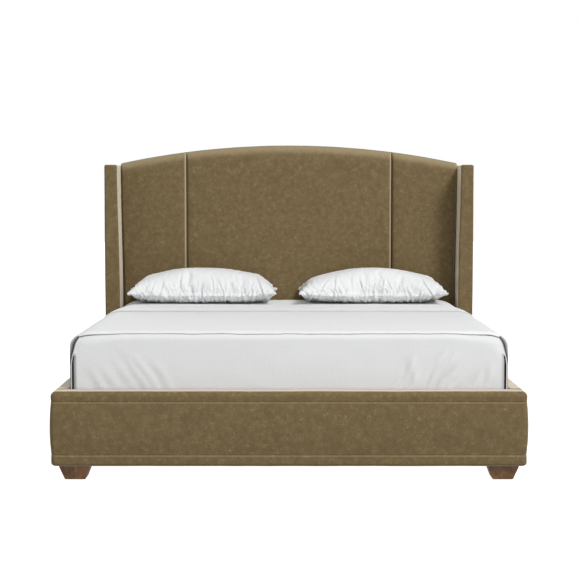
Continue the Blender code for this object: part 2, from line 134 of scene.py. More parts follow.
# ---- finishes ---------------------------------------------------------------------------------
@dataclass(frozen=True)
class PileVelvet:
    """Polyester upholstery velvet with a short crushed pile.

    The pile leans in small patches, so the cloth is faintly mottled, with clusters of lighter curly flecks
    where tufts stand up and fine weft streaks. Sheen is painted in: the colour turns pale wherever the cloth
    is seen at a low angle, and painted highlights and painted shade run along seams and edges.
    """

    name: str = "olive_brown_pile_velvet"
    deep: str = "67563C"
    pale: str = "726244"
    fleck: str = "B8A67C"
    # Painted highlight: the paler colour laid on lit seam edges, welts and the arch's rolled top, where the
    # mesh marks it.
    painted_highlight: str = "B4A482"
    # Painted shade: the dark colour laid in seam grooves, joints and along edges, where the mesh marks it.
    painted_shade: str = "33291B"
    # Painted sheen: the pale colour that the base colour turns towards where the cloth is seen at a low angle.
    painted_sheen: str = "D8CFBB"
    painted_sheen_share: float = 0.95
    painted_sheen_blend: float = 0.12  # how far from grazing the painted sheen still shows
    patch_mm: float = 52.0
    fleck_mm: float = 6.0
    fleck_share: float = 0.72
    streak_mm: float = 5.0
    pile_mm: float = 2.2  # real tufts are 0.3 mm; drawn coarser so that they show
    sheen: float = 0.35
    sheen_roughness: float = 0.35
    sheen_tint: str = "E6DCC8"
    roughness: float = 0.9

    def build(self) -> bpy.types.Material:
        """Build the material.

        Returns:
            The velvet material. It reads the mesh's painted-highlight and painted-shade attributes, along
            seams and edges.
        """
        made, tree, shader, place = start_material(self.name)
        patches = add_node(
            tree, "ShaderNodeTexNoise",
            {"Vector": place, "Scale": 1000 / self.patch_mm, "Detail": 7.0, "Roughness": 0.72,
             "Distortion": 0.4},
        ).outputs["Fac"]
        leaning = add_node(tree, "ShaderNodeMapRange", {"Value": patches, "From Min": 0.28, "From Max": 0.72})
        tone = add_node(
            tree, "ShaderNodeMix",
            {"Factor": leaning.outputs["Result"], 6: linear(self.deep), 7: linear(self.pale)},
            data_type="RGBA",
        )
        curls = add_node(
            tree, "ShaderNodeTexNoise",
            {"Vector": place, "Scale": 1000 / self.fleck_mm, "Detail": 3.0, "Roughness": 0.62,
             "Distortion": 2.2},
        )
        raised = add_node(
            tree, "ShaderNodeMapRange", {"Value": curls.outputs["Fac"], "From Min": 0.52, "From Max": 0.66}
        )
        clusters = add_node(
            tree, "ShaderNodeTexNoise",
            {"Vector": place, "Scale": 2000 / self.patch_mm, "Detail": 5.0, "Roughness": 0.72},
        )
        crowded = add_node(
            tree, "ShaderNodeMapRange",
            {"Value": clusters.outputs["Fac"], "From Min": 0.42, "From Max": 0.64,
             "To Max": self.fleck_share},
        )
        share = add_node(
            tree, "ShaderNodeMath", {0: raised.outputs["Result"], 1: crowded.outputs["Result"]},
            operation="MULTIPLY",
        )
        flecked = add_node(
            tree, "ShaderNodeMix",
            {"Factor": share.outputs["Value"], 6: tone.outputs[2], 7: linear(self.fleck)},
            data_type="RGBA",
        )
        # The weft shows as streaks ten times longer than they are high.
        along = add_node(tree, "ShaderNodeMapping", {"Vector": place, "Scale": (0.10, 0.10, 1.0)})
        weft = add_node(
            tree, "ShaderNodeTexNoise",
            {"Vector": along.outputs["Vector"], "Scale": 1000 / self.streak_mm, "Detail": 2.0,
             "Roughness": 0.6},
        )
        streaks = add_node(
            tree, "ShaderNodeMapRange",
            {"Value": weft.outputs["Fac"], "From Min": 0.35, "From Max": 0.75, "To Max": 0.16},
        )
        streaks_and_highlight = add_node(
            tree, "ShaderNodeMix",
            {"Factor": streaks.outputs["Result"], 6: flecked.outputs[2], 7: linear(self.deep)},
            data_type="RGBA",
        )
        # Painted highlight, where the mesh marks lit seam edges, welts and the arch's roll.
        painted_highlight = add_node(tree, "ShaderNodeAttribute", attribute_name="painted_highlight")
        streaks_and_highlight = add_node(
            tree, "ShaderNodeMix",
            {"Factor": painted_highlight.outputs["Fac"], 6: streaks_and_highlight.outputs[2], 7: linear(self.painted_highlight)},
            data_type="RGBA",
        )
        # Painted sheen: the base colour is mixed towards the pale sheen colour at grazing view angles.
        facing = add_node(tree, "ShaderNodeLayerWeight", {"Blend": self.painted_sheen_blend})
        grazing = add_node(
            tree, "ShaderNodeMapRange",
            {"Value": facing.outputs["Facing"], "From Min": 0.12, "From Max": 0.42,
             "To Max": self.painted_sheen_share},
        )
        painted_sheen = add_node(
            tree, "ShaderNodeMix",
            {"Factor": grazing.outputs["Result"], 6: streaks_and_highlight.outputs[2], 7: linear(self.painted_sheen)},
            data_type="RGBA",
        )
        # Painted shade, where the mesh marks seam grooves, joints and edge outlines.
        painted_shade = add_node(tree, "ShaderNodeAttribute", attribute_name="painted_shade")
        with_painted_shade = add_node(
            tree, "ShaderNodeMix",
            {"Factor": painted_shade.outputs["Fac"], 6: painted_sheen.outputs[2], 7: linear(self.painted_shade)},
            data_type="RGBA",
        )
        tree.links.new(with_painted_shade.outputs[2], shader.inputs["Base Color"])
        pile = add_node(
            tree, "ShaderNodeTexNoise",
            {"Vector": place, "Scale": 1000 / self.pile_mm, "Detail": 3.0, "Roughness": 0.7},
        )
        nap = add_node(tree, "ShaderNodeMath", {0: pile.outputs["Fac"], 1: patches}, operation="ADD")
        bump = add_node(
            tree, "ShaderNodeBump", {"Strength": 0.3, "Distance": 0.0012, "Height": nap.outputs["Value"]}
        )
        tree.links.new(bump.outputs["Normal"], shader.inputs["Normal"])
        shader.inputs["Roughness"].default_value = self.roughness
        shader.inputs["Specular IOR Level"].default_value = 0.12
        shader.inputs["Sheen Weight"].default_value = self.sheen
        shader.inputs["Sheen Roughness"].default_value = self.sheen_roughness
        shader.inputs["Sheen Tint"].default_value = linear(self.sheen_tint)
        return made


@dataclass(frozen=True)
class WovenCotton:
    """Plain-woven white cotton: fine warp and weft, slightly uneven threads, and painted shade, near black,
    where the mesh marks it.
    """

    name: str
    colour: str = "E2E2E2"
    shade: str = "D5D6D7"
    # Painted shade: near black, laid in grooves, slits and under edges, where the mesh marks it.
    painted_shade: str = "18191B"
    thread_mm: float = 3.0  # real threads are 0.25 mm; drawn coarser so that they show
    relief: float = 0.25
    roughness: float = 0.82

    def build(self) -> bpy.types.Material:
        """Build the material.

        Returns:
            The cotton material. It is painted darker, as painted shade, where the mesh marks it.
        """
        made, tree, shader, place = start_material(self.name)
        threads = []
        for direction in ("X", "Y", "Z"):
            threads.append(
                add_node(
                    tree, "ShaderNodeTexWave",
                    {"Vector": place, "Scale": 1000 / self.thread_mm / 10, "Distortion": 1.5, "Detail": 2.0,
                     "Detail Scale": 3.0},
                    bands_direction=direction,
                ).outputs["Fac"]
            )
        weave = add_node(tree, "ShaderNodeMath", {0: threads[0], 1: threads[1]}, operation="ADD")
        weave = add_node(tree, "ShaderNodeMath", {0: weave.outputs["Value"], 1: threads[2]}, operation="ADD")
        drawn = add_node(tree, "ShaderNodeMapping", {"Vector": place, "Scale": (1.0, 1.0, 0.3)})
        slubs = add_node(
            tree, "ShaderNodeTexNoise",
            {"Vector": drawn.outputs["Vector"], "Scale": 240.0, "Detail": 3.0, "Roughness": 0.65},
        )
        cloth = add_node(
            tree, "ShaderNodeMix",
            {"Factor": slubs.outputs["Fac"], 6: linear(self.shade), 7: linear(self.colour)},
            data_type="RGBA",
        )
        # Painted shade, where the mesh marks grooves, slits and edges.
        painted_shade = add_node(tree, "ShaderNodeAttribute", attribute_name="painted_shade")
        colour = add_node(
            tree, "ShaderNodeMix",
            {"Factor": painted_shade.outputs["Fac"], 6: cloth.outputs[2], 7: linear(self.painted_shade)},
            data_type="RGBA",
        )
        tree.links.new(colour.outputs[2], shader.inputs["Base Color"])
        height = add_node(
            tree, "ShaderNodeMath", {0: weave.outputs["Value"], 1: slubs.outputs["Fac"]}, operation="ADD"
        )
        bump = add_node(
            tree, "ShaderNodeBump",
            {"Strength": self.relief, "Distance": 0.0006, "Height": height.outputs["Value"]},
        )
        tree.links.new(bump.outputs["Normal"], shader.inputs["Normal"])
        shader.inputs["Roughness"].default_value = self.roughness
        shader.inputs["Specular IOR Level"].default_value = 0.2
        shader.inputs["Sheen Weight"].default_value = 0.1
        return made


@dataclass(frozen=True)
class Grain:
    """Timber: long growth rings along one axis, with pores and a planed or stained surface."""

    name: str
    light: str
    dark: str
    along: tuple[float, float, float]
    ring_mm: float = 9.0
    roughness: float = 0.55
    coat: float = 0.0
    relief: float = 0.15

    def build(self) -> bpy.types.Material:
        """Build the material.

        Returns:
            The timber material.
        """
        made, tree, shader, place = start_material(self.name)
        grown = add_node(tree, "ShaderNodeMapping", {"Vector": place, "Scale": self.along}).outputs["Vector"]
        rings = add_node(
            tree, "ShaderNodeTexNoise",
            {"Vector": grown, "Scale": 1000 / self.ring_mm / 4, "Detail": 6.0, "Roughness": 0.6,
             "Distortion": 0.6},
        )
        pores = add_node(
            tree, "ShaderNodeTexNoise",
            {"Vector": grown, "Scale": 900.0, "Detail": 2.0, "Roughness": 0.5},
        )
        tone = add_node(tree, "ShaderNodeValToRGB", {"Fac": rings.outputs["Fac"]})
        ramp = tone.color_ramp
        ramp.elements[0].position, ramp.elements[0].color = 0.36, linear(self.dark)
        ramp.elements[1].position, ramp.elements[1].color = 0.62, linear(self.light)
        darker = add_node(
            tree, "ShaderNodeMapRange",
            {"Value": pores.outputs["Fac"], "From Min": 0.3, "From Max": 0.5, "To Min": 0.8, "To Max": 1.0},
        )
        colour = add_node(
            tree, "ShaderNodeMix",
            {"Factor": 1.0, 6: tone.outputs["Color"], 7: darker.outputs["Result"]},
            data_type="RGBA", blend_type="MULTIPLY",
        )
        tree.links.new(colour.outputs[2], shader.inputs["Base Color"])
        rough = add_node(
            tree, "ShaderNodeMapRange",
            {"Value": rings.outputs["Fac"], "To Min": self.roughness + 0.08, "To Max": self.roughness - 0.08},
        )
        tree.links.new(rough.outputs["Result"], shader.inputs["Roughness"])
        bump = add_node(
            tree, "ShaderNodeBump",
            {"Strength": self.relief, "Distance": 0.0005, "Height": pores.outputs["Fac"]},
        )
        tree.links.new(bump.outputs["Normal"], shader.inputs["Normal"])
        shader.inputs["Coat Weight"].default_value = self.coat
        shader.inputs["Coat Roughness"].default_value = 0.3
        return made


@dataclass(frozen=True)
class Speckled:
    """A hard or felted surface with a fine even texture, such as powder coat, zinc, plastic or felt."""

    name: str
    colour: str
    other: str
    grain_mm: float
    roughness: float
    metallic: float = 0.0
    relief: float = 0.2

    def build(self) -> bpy.types.Material:
        """Build the material.

        Returns:
            The speckled material.
        """
        made, tree, shader, place = start_material(self.name)
        grain = add_node(
            tree, "ShaderNodeTexNoise",
            {"Vector": place, "Scale": 1000 / self.grain_mm, "Detail": 3.0, "Roughness": 0.6},
        )
        wear = add_node(
            tree, "ShaderNodeTexNoise", {"Vector": place, "Scale": 14.0, "Detail": 5.0, "Roughness": 0.6}
        )
        mixed = add_node(
            tree, "ShaderNodeMath", {0: grain.outputs["Fac"], 1: wear.outputs["Fac"]}, operation="MULTIPLY"
        )
        share = add_node(
            tree, "ShaderNodeMapRange", {"Value": mixed.outputs["Value"], "From Min": 0.12, "From Max": 0.4}
        )
        colour = add_node(
            tree, "ShaderNodeMix",
            {"Factor": share.outputs["Result"], 6: linear(self.colour), 7: linear(self.other)},
            data_type="RGBA",
        )
        tree.links.new(colour.outputs[2], shader.inputs["Base Color"])
        rough = add_node(
            tree, "ShaderNodeMapRange",
            {"Value": wear.outputs["Fac"], "To Min": self.roughness - 0.08, "To Max": self.roughness + 0.08},
        )
        tree.links.new(rough.outputs["Result"], shader.inputs["Roughness"])
        bump = add_node(
            tree, "ShaderNodeBump",
            {"Strength": self.relief, "Distance": 0.0004, "Height": grain.outputs["Fac"]},
        )
        tree.links.new(bump.outputs["Normal"], shader.inputs["Normal"])
        shader.inputs["Metallic"].default_value = self.metallic
        return made


@dataclass
class Finishes:
    """Every finish of the bed, built once."""

    velvet: bpy.types.Material = field(default_factory=lambda: PileVelvet().build())
    # The same polyester thread as the cloth, a little paler, because it is twisted and catches the light.
    thread: bpy.types.Material = field(
        default_factory=lambda: Speckled("twisted_polyester_thread", "8A7A58", "9C8C69", 1.5, 0.6).build()
    )
    # Percale, a crisp plain weave: matt white, with the thread just visible.
    bedding: bpy.types.Material = field(default_factory=lambda: WovenCotton("percale_cotton").build())
    # The same percale as the coverlet, painted a little whiter: painted light on the head part of the bed,
    # where less light falls.
    sheeting: bpy.types.Material = field(
        default_factory=lambda: WovenCotton("percale_sheet_cotton", colour="EBEBEB", shade="DEDFE0").build()
    )
    # Soft combed cotton: smoother than the sheet, so its weave hardly shows.
    pillowcase: bpy.types.Material = field(
        default_factory=lambda: WovenCotton(
            "pillowcase_cotton", colour="DEDFDF", shade="D4D5D6", relief=0.12
        ).build()
    )
    # Knitted mattress ticking in off-white: thicker yarn, warmer in colour.
    ticking: bpy.types.Material = field(
        default_factory=lambda: WovenCotton(
            "mattress_ticking", colour="E4E2DC", shade="D6D3CB", thread_mm=5.0
        ).build()
    )
    # Spun-bonded polypropylene cloth, stapled over the open back: dull, slightly fibrous.
    back_cloth: bpy.types.Material = field(
        default_factory=lambda: Speckled(
            "spun_bonded_back_cloth", "4B4233", "5B5140", 2.5, 0.93, relief=0.5
        ).build()
    )
    # Planed pine, left raw: pale, with soft darker growth rings.
    pine: bpy.types.Material = field(
        default_factory=lambda: Grain("planed_pine", "D2B381", "B48D5B", (1.0, 0.12, 1.0)).build()
    )
    pine_across: bpy.types.Material = field(
        default_factory=lambda: Grain("planed_pine_slat", "D6BA8B", "BA9563", (0.12, 1.0, 1.0)).build()
    )
    # Rubberwood with a brown stain and satin lacquer: the stain sinks unevenly into the grain.
    stained_wood: bpy.types.Material = field(
        default_factory=lambda: Grain(
            "stained_rubberwood", "86603C", "5E4028", (1.0, 1.0, 0.18), ring_mm=5.0, roughness=0.5, coat=0.06
        ).build()
    )
    # Steel with a black powder coat: a fine orange-peel surface, rather dull.
    powder_coat: bpy.types.Material = field(
        default_factory=lambda: Speckled("black_powder_coated_steel", "1E1F20", "2D2E30", 0.8, 0.5).build()
    )
    # Zinc-plated steel bolts: bright and slightly yellow, lightly handled.
    zinc: bpy.types.Material = field(
        default_factory=lambda: Speckled(
            "zinc_plated_steel", "B9B6A8", "9E9C92", 1.2, 0.34, 1.0, 0.05
        ).build()
    )
    # Injection-moulded polypropylene: nearly black, with a fine spark-eroded texture.
    glide: bpy.types.Material = field(
        default_factory=lambda: Speckled("moulded_polypropylene", "26241F", "302E29", 0.6, 0.55).build()
    )


# ---- sewing-room geometry ---------------------------------------------------------------------
def steps_between(low: float, high: float, step: float) -> list[float]:
    """Even places from low to high, both included, no further apart than step."""
    count = max(1, math.ceil((high - low) / step))
    return [low + (high - low) * i / count for i in range(count + 1)]


def rounded_steps(
    low: float, high: float, ends: tuple[float, float], step: float, turns: int = 5
) -> list[float]:
    """Places along a box side whose two ends are rounded.

    Args:
        low: where the side starts.
        high: where it ends.
        ends: the rounding at each end.
        step: the widest spacing between.
        turns: how many steps each rounding takes.

    Returns:
        The places, closest in the rounded ends.
    """
    first, last = ends
    slopes = [math.tan(math.pi / 4 * i / turns) for i in range(turns, 0, -1)]
    start = [low + first * (1 - s) for s in slopes] if first > 0 else [low]
    finish = [high - last * (1 - s) for s in reversed(slopes)] if last > 0 else [high]
    middle = steps_between(low + first, high - last, step)
    if first <= 0:
        middle = middle[1:]
    if last <= 0:
        middle = middle[:-1]
    return [*start, *middle, *finish]


def with_lines(places: Sequence[float], lines: Sequence[float], offsets: Sequence[float]) -> list[float]:
    """Add places beside each line, and drop the old ones that lie among them.

    Args:
        places: the places there are.
        lines: where a seam or a step runs.
        offsets: distances to either side of each line that get a place of their own.

    Returns:
        All the places in order.
    """
    reach = max(offsets) * 1.2
    kept = [p for p in places if all(abs(p - line) > reach for line in lines)]
    added = [line + sign * off for line in lines for off in offsets for sign in (-1, 1)]
    return sorted(set(kept) | {a for a in added if places[0] <= a <= places[-1]} | {places[0], places[-1]})


def grid_skin(axes: Sequence[Sequence[float]], open_sides: Sequence[str] = ()) -> tuple[np.ndarray, list]:
    """The skin of a box, as a grid of quads on each side.

    Args:
        axes: the places along X, Y and Z.
        open_sides: sides left open, such as "-z" or "+y".

    Returns:
        The points, as an array of (n, 3), and the faces.
    """
    index: dict[tuple[int, int, int], int] = {}
    points: list[tuple[float, float, float]] = []
    faces: list[tuple[int, ...]] = []

    def corner(key: tuple[int, int, int]) -> int:
        """The number of the point at one place of the grid, made when first asked for."""
        if key not in index:
            index[key] = len(points)
            points.append(tuple(axes[a][key[a]] for a in range(3)))
        return index[key]

    for axis, letter in enumerate("xyz"):
        across, up = [(1, 2), (2, 0), (0, 1)][axis]
        for sign, fixed in (("-", 0), ("+", len(axes[axis]) - 1)):
            if sign + letter in open_sides:
                continue
            for i in range(len(axes[across]) - 1):
                for j in range(len(axes[up]) - 1):
                    ring = []
                    for di, dj in ((0, 0), (1, 0), (1, 1), (0, 1)):
                        key = [0, 0, 0]
                        key[axis], key[across], key[up] = fixed, i + di, j + dj
                        ring.append(corner(tuple(key)))
                    faces.append(tuple(ring if sign == "+" else ring[::-1]))
    return np.array(points), faces


def round_box(
    points: np.ndarray, low: Sequence, high: Sequence, soft_low: Sequence, soft_high: Sequence
) -> np.ndarray:
    """Round the edges of a box's skin, with a radius of its own for each of its sides.

    Args:
        points: points on the box's skin.
        low: the box's lowest corner.
        high: its highest corner.
        soft_low: rounding next to the low X, Y and Z sides. Each may be an array, one value a point.
        soft_high: rounding next to the high sides.

    Returns:
        The rounded points.
    """
    core = points.copy()
    radius = np.empty_like(points)
    for a in range(3):
        lower = points[:, a] < (low[a] + high[a]) / 2
        radius[:, a] = np.maximum(np.where(lower, soft_low[a], soft_high[a]), 1e-6)
        core[:, a] = np.clip(points[:, a], low[a] + radius[:, a], high[a] - radius[:, a])
    away = (points - core) / radius
    length = np.linalg.norm(away, axis=1, keepdims=True)
    return core + away / np.maximum(length, 1.0) * radius


def point_normals(points: np.ndarray, faces: Sequence[tuple[int, ...]]) -> np.ndarray:
    """Unit normals at the points of a mesh of quads.

    Args:
        points: the mesh's points.
        faces: its quads.

    Returns:
        One normal a point.
    """
    quads = np.array(faces)
    across = points[quads[:, 2]] - points[quads[:, 0]]
    up = points[quads[:, 3]] - points[quads[:, 1]]
    flat = np.cross(across, up)
    normals = np.zeros_like(points)
    for i in range(quads.shape[1]):
        np.add.at(normals, quads[:, i], flat)
    return normals / np.maximum(np.linalg.norm(normals, axis=1, keepdims=True), 1e-12)


def cloud(points: np.ndarray, size: float, seed: float) -> np.ndarray:
    """Smooth noise from -1 to 1 at each point, with lumps about size metres wide."""
    shift = Vector((seed, seed * 1.7, seed * 0.3))
    return np.array([noise.noise(Vector(p) / size + shift) for p in points])


def smooth_step(values: np.ndarray, start: float, end: float) -> np.ndarray:
    """0 below start, 1 above end, and smooth between."""
    share = np.clip((values - start) / (end - start), 0.0, 1.0)
    return share * share * (3 - 2 * share)


def new_piece(
    name: str, points: np.ndarray, faces: Sequence[tuple[int, ...]], finish: bpy.types.Material
) -> bpy.types.Object:
    """Make a smooth mesh object at the origin.

    Args:
        name: the piece's name.
        points: its points in metres.
        faces: its faces.
        finish: its material.

    Returns:
        The object, linked to the scene.
    """
    mesh = bpy.data.meshes.new(name)
    mesh.from_pydata([tuple(p) for p in points], [], faces)
    mesh.materials.append(finish)
    mesh.shade_smooth()
    mesh.update()
    piece = bpy.data.objects.new(name, mesh)
    bpy.context.scene.collection.objects.link(piece)
    return piece


def mark(piece: bpy.types.Object, name: str, amount: np.ndarray) -> None:
    """Store a value from 0 to 1 at each point, such as how deep in a crease it lies."""
    layer = piece.data.attributes.new(name, "FLOAT", "POINT")
    layer.data.foreach_set("value", np.ascontiguousarray(np.clip(amount, 0, 1), dtype=np.float32))


def thicken(piece: bpy.types.Object, thick: float) -> None:
    """Give a skin its cloth's thickness, inwards.

    Args:
        piece: the skin.
        thick: how thick the cloth is.
    """
    solid = piece.modifiers.new("cloth thickness", "SOLIDIFY")
    solid.thickness = thick
    solid.offset = -1.0
    solid.use_even_offset = False


def settle(piece: bpy.types.Object, body: str, slot: str, *nodes: str) -> None:
    """Say what a piece rides on and the CAD nodes that it stands for.

    Args:
        piece: the piece.
        body: the body that carries it.
        slot: not used.
        nodes: the CAD nodes that it replaces, if any.
    """
    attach(piece, body)
    if nodes:
        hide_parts(*nodes)


def stitch_row(
    name: str, route: Sequence[Vector], finish: bpy.types.Material, pitch: float = 0.009
) -> bpy.types.Object:
    """A row of topstitches: one small spindle of thread for each stitch.

    Args:
        name: the piece's name.
        route: the line that the stitches follow, on the cloth's surface.
        finish: the thread.
        pitch: from the start of one stitch to the next.

    Returns:
        The stitches as one object.
    """
    length, half_thick = pitch * 0.66, 0.0006
    points, faces = [], []
    start = Vector(route[0])
    for place in route[1:]:
        end = Vector(place)
        run = end - start
        if run.length < pitch:
            continue
        along = run.normalized()
        side = along.cross(Vector((0, 0, 1))).normalized()
        up = side.cross(along)
        for k in range(int(run.length / pitch)):
            tail = start + along * (k * pitch + pitch * 0.17)
            tip = tail + along * length
            middle = (tail + tip) / 2
            first = len(points)
            round_it = (side, up, -side, -up)
            ring = [middle + away * half_thick for away in round_it]
            points += [tail, *ring, tip]
            for i in range(4):
                a, b = first + 1 + i, first + 1 + (i + 1) % 4
                faces += [(first, b, a), (first + 5, a, b)]
        start = end
    return new_piece(name, np.array([tuple(p) for p in points]), faces, finish)


# ---- the upholstered frame --------------------------------------------------------------------
@dataclass
class Upholstery:
    """The padded velvet pieces of the bed frame."""

    finishes: Finishes
    unevenness: float = 1.2 * MM

    def uneven(self, points: np.ndarray) -> np.ndarray:
        """How far the foam stands out or sinks at each point."""
        return self.unevenness * (cloud(points, 0.16, 3.1) + 0.4 * cloud(points, 0.05, 8.2))

    def swell(self, points: np.ndarray, faces: list, shift: Shift) -> np.ndarray:
        """Move points along their normals.

        Args:
            points: the skin's points.
            faces: its faces.
            shift: gives the distance for each point from the points and normals.

        Returns:
            The moved points.
        """
        normals = point_normals(points, faces)
        return points + normals * shift(points, normals)[:, None]


@dataclass
class Headboard(Upholstery):
    """Three padded panels under one arch, with deep upright seams between them, and the cloth on the back."""

    roll_depth: float = 0.040  # how far the arched edge rolls back
    seam_depth: float = 0.015
    seam_roll: float = 0.016
    arch_roll: float = 0.052
    crown: float = 0.007
    notch: float = 0.0035
    arch_top: float = 1.550
    arch_radius: float = 4.750
    velvet_thick: float = 1.5 * MM
    arch_share: float = 0.965  # of the back's rectangle, what the arch leaves

    def arch(self, x: np.ndarray) -> np.ndarray:
        """Height of the headboard's top edge at x."""
        return self.arch_top - self.arch_radius + np.sqrt(self.arch_radius**2 - x**2)

    def roll_places(self, low: float, high: float, rolls: tuple[float, float], step: float) -> list[float]:
        """Places between two edges that roll back, closest at the edges.

        Args:
            low: where the first edge is.
            high: where the last edge is.
            rolls: how wide each edge's roll is.
            step: the widest spacing between the rolls.

        Returns:
            The places in order.
        """
        turn = [1 - math.cos(math.pi / 2 * i / 8) for i in range(8)]
        first, last = rolls
        return [
            *(low + first * t for t in turn),
            *steps_between(low + first, high - last, step),
            *(high - last * t for t in reversed(turn)),
        ]

    def panel(self, word: str) -> bpy.types.Object:
        """Build one panel from its CAD node.

        Args:
            word: left, centre or right.

        Returns:
            The padded panel.
        """
        node = f"headboard_pad_{word}"
        low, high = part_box(node)
        inner, outer = sorted((abs(low.x), abs(high.x)))
        low_x, high_x = low.x, high.x
        side = {"left": -1, "centre": 0, "right": 1}[word]
        xs = self.roll_places(low_x, high_x, (self.seam_roll, self.seam_roll), 0.03)
        zs = self.roll_places(low.z, self.arch_top, (self.seam_roll, self.arch_roll), 0.03)
        depth = high.y - low.y
        ys = [0.0, self.roll_depth + 0.004, (self.roll_depth + depth) / 2, depth - 0.002, depth]
        points, faces = grid_skin((xs, ys, zs))
        to_edge = np.minimum(points[:, 0] - low_x, high_x - points[:, 0])
        to_top = self.arch_top - points[:, 2]
        to_base = points[:, 2] - low.z

        front = points[:, 1] == 0.0
        over = np.clip(1 - to_top / self.arch_roll, 0, 1)
        arch_drop = self.roll_depth * (1 - np.sqrt(np.clip(1 - over**2, 0, 1)))
        side_drop = self.seam_depth * np.clip(1 - np.minimum(to_edge, to_base) / self.seam_roll, 0, 1) ** 2
        flat = 1 - np.hypot(arch_drop, side_drop) / self.roll_depth
        bulge = np.minimum(to_edge / (high_x - low_x) * 2, 1.0)
        crown = self.crown * np.sqrt(np.clip(1 - (1 - bulge) ** 2, 0, 1)) * smooth_step(to_top, 0.0, 0.25)
        settled = low.y + self.crown * 0.5 + self.roll_depth * np.clip(1 - flat, 0, 1.05) - crown
        settled += self.uneven(points) * smooth_step(to_edge, 0.0, 0.04) * smooth_step(to_top, 0.0, 0.06)
        points[:, 1] = np.where(front, settled, low.y + points[:, 1])
        share = (points[:, 2] - low.z) / (self.arch_top - low.z)
        if side:
            narrower = (outer - (self.wing_inner - 0.0005)) * (1 - smooth_step(points[:, 2], 0.66, 1.435))
            lean = np.abs(points[:, 0]) - inner
            points[:, 0] -= side * narrower * lean / (outer - inner)
        points[:, 2] += (self.arch(points[:, 0]) - self.arch_top) * share
        seam_near = np.exp(-to_edge / 0.007)
        points[:, 2] -= self.notch * seam_near * smooth_step(-to_top, -0.05, 0.0)
        piece = new_piece(f"padded_panel_{word}", points, faces, self.finishes.velvet)
        lit_side = np.where(points[:, 0] > (low_x + high_x) / 2, 1.0, 0.0)
        from_top = self.arch(points[:, 0]) - points[:, 2]
        # Painted highlight: a pale band down from the arch's top edge, and a pale line on each seam's lit
        # side.
        painted_arch_highlight = 0.42 * (1 - smooth_step(from_top, 0.012, 0.062))
        painted_arch_outline = np.exp(-((from_top / 0.0035) ** 2))
        on_front = smooth_step(-points[:, 1], -low.y - 0.05, -low.y - 0.02)
        painted_seam_highlight = on_front * lit_side * np.exp(-(((to_edge - 0.0055) / 0.0048) ** 2))
        mark(piece, "painted_highlight", np.maximum(painted_seam_highlight, painted_arch_highlight))
        # Painted shade: dark in each seam, a wider shade on the unlit side of a seam, and a dark line along
        # the arch's top edge.
        shade = 0.5 if side > 0 else 0.2
        deep = np.exp(-((to_edge / 0.0024) ** 2)) + (1 - lit_side) * shade * np.exp(-((to_edge / 0.014) ** 2))
        mark(piece, "painted_shade", np.maximum(on_front * deep * 0.9, painted_arch_outline * 0.8))
        return piece

    @property
    def wing_inner(self) -> float:
        """How far from the middle the wings' inner faces are beside the mattress."""
        return min(abs(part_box("wing_cover_right")[0].x), abs(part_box("wing_cover_left")[1].x))

    def back(self) -> bpy.types.Object:
        """Build the cloth on the back: stretched, with slight pulls towards its staples.

        Returns:
            The back cloth.
        """
        low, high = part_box("headboard_back_cover")
        xs = steps_between(low.x, high.x, 0.03)
        zs = steps_between(low.z, self.arch_top, 0.03)
        points, faces = grid_skin((xs, [low.y, high.y], zs))
        share = (points[:, 2] - low.z) / (self.arch_top - low.z)
        top = np.where(np.abs(points[:, 0]) < 0.989, self.arch(points[:, 0]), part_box("wing_cover_left")[1].z)
        points[:, 2] = low.z + share * (top - low.z)
        slack = np.sin(np.pi * share) * 0.0008 * cloud(points, 0.3, 5.5)
        points[:, 1] += np.where(points[:, 1] > (low.y + high.y) / 2, slack - 0.0009, 0.0)
        return new_piece("back_cloth", points, faces, self.finishes.back_cloth)

    def top_wrap(self) -> bpy.types.Object:
        """Build the strip of velvet that runs from the panels back over the timber core, and down behind it.

        Returns:
            The strip.
        """
        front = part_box("headboard_pad_centre")[1].y - 0.008
        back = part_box("headboard_back_cover")[1].y
        section = [
            (front, 0.0004), (front + 0.007, 0.0022), (front + 0.024, 0.0028), (back - 0.010, 0.0024),
            (back - 0.003, 0.0006), (back + 0.0008, -0.003), (back + 0.0020, -0.010), (back + 0.0019, -0.020),
        ]
        half = self.wing_top_inner - 0.002
        xs = steps_between(-half, half, 0.02)
        points, faces = [], []
        for x in xs:
            top = float(self.arch(np.array([x]))[0])
            lift = 0.0006 * noise.noise(Vector((x / 0.05, 0.3, 0.7)))
            points += [(x, y, top + z + lift) for y, z in section]
        rows = len(section)
        for i in range(len(xs) - 1):
            for j in range(rows - 1):
                a = i * rows + j
                faces.append((a, a + rows, a + rows + 1, a + 1))
        piece = new_piece("velvet_over_the_top", np.array(points), faces, self.finishes.velvet)
        thicken(piece, self.velvet_thick)
        return piece

    @property
    def wing_top_inner(self) -> float:
        """How far from the middle the wings' inner faces are at the top of the arch's ends."""
        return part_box("headboard_pad_right")[1].x

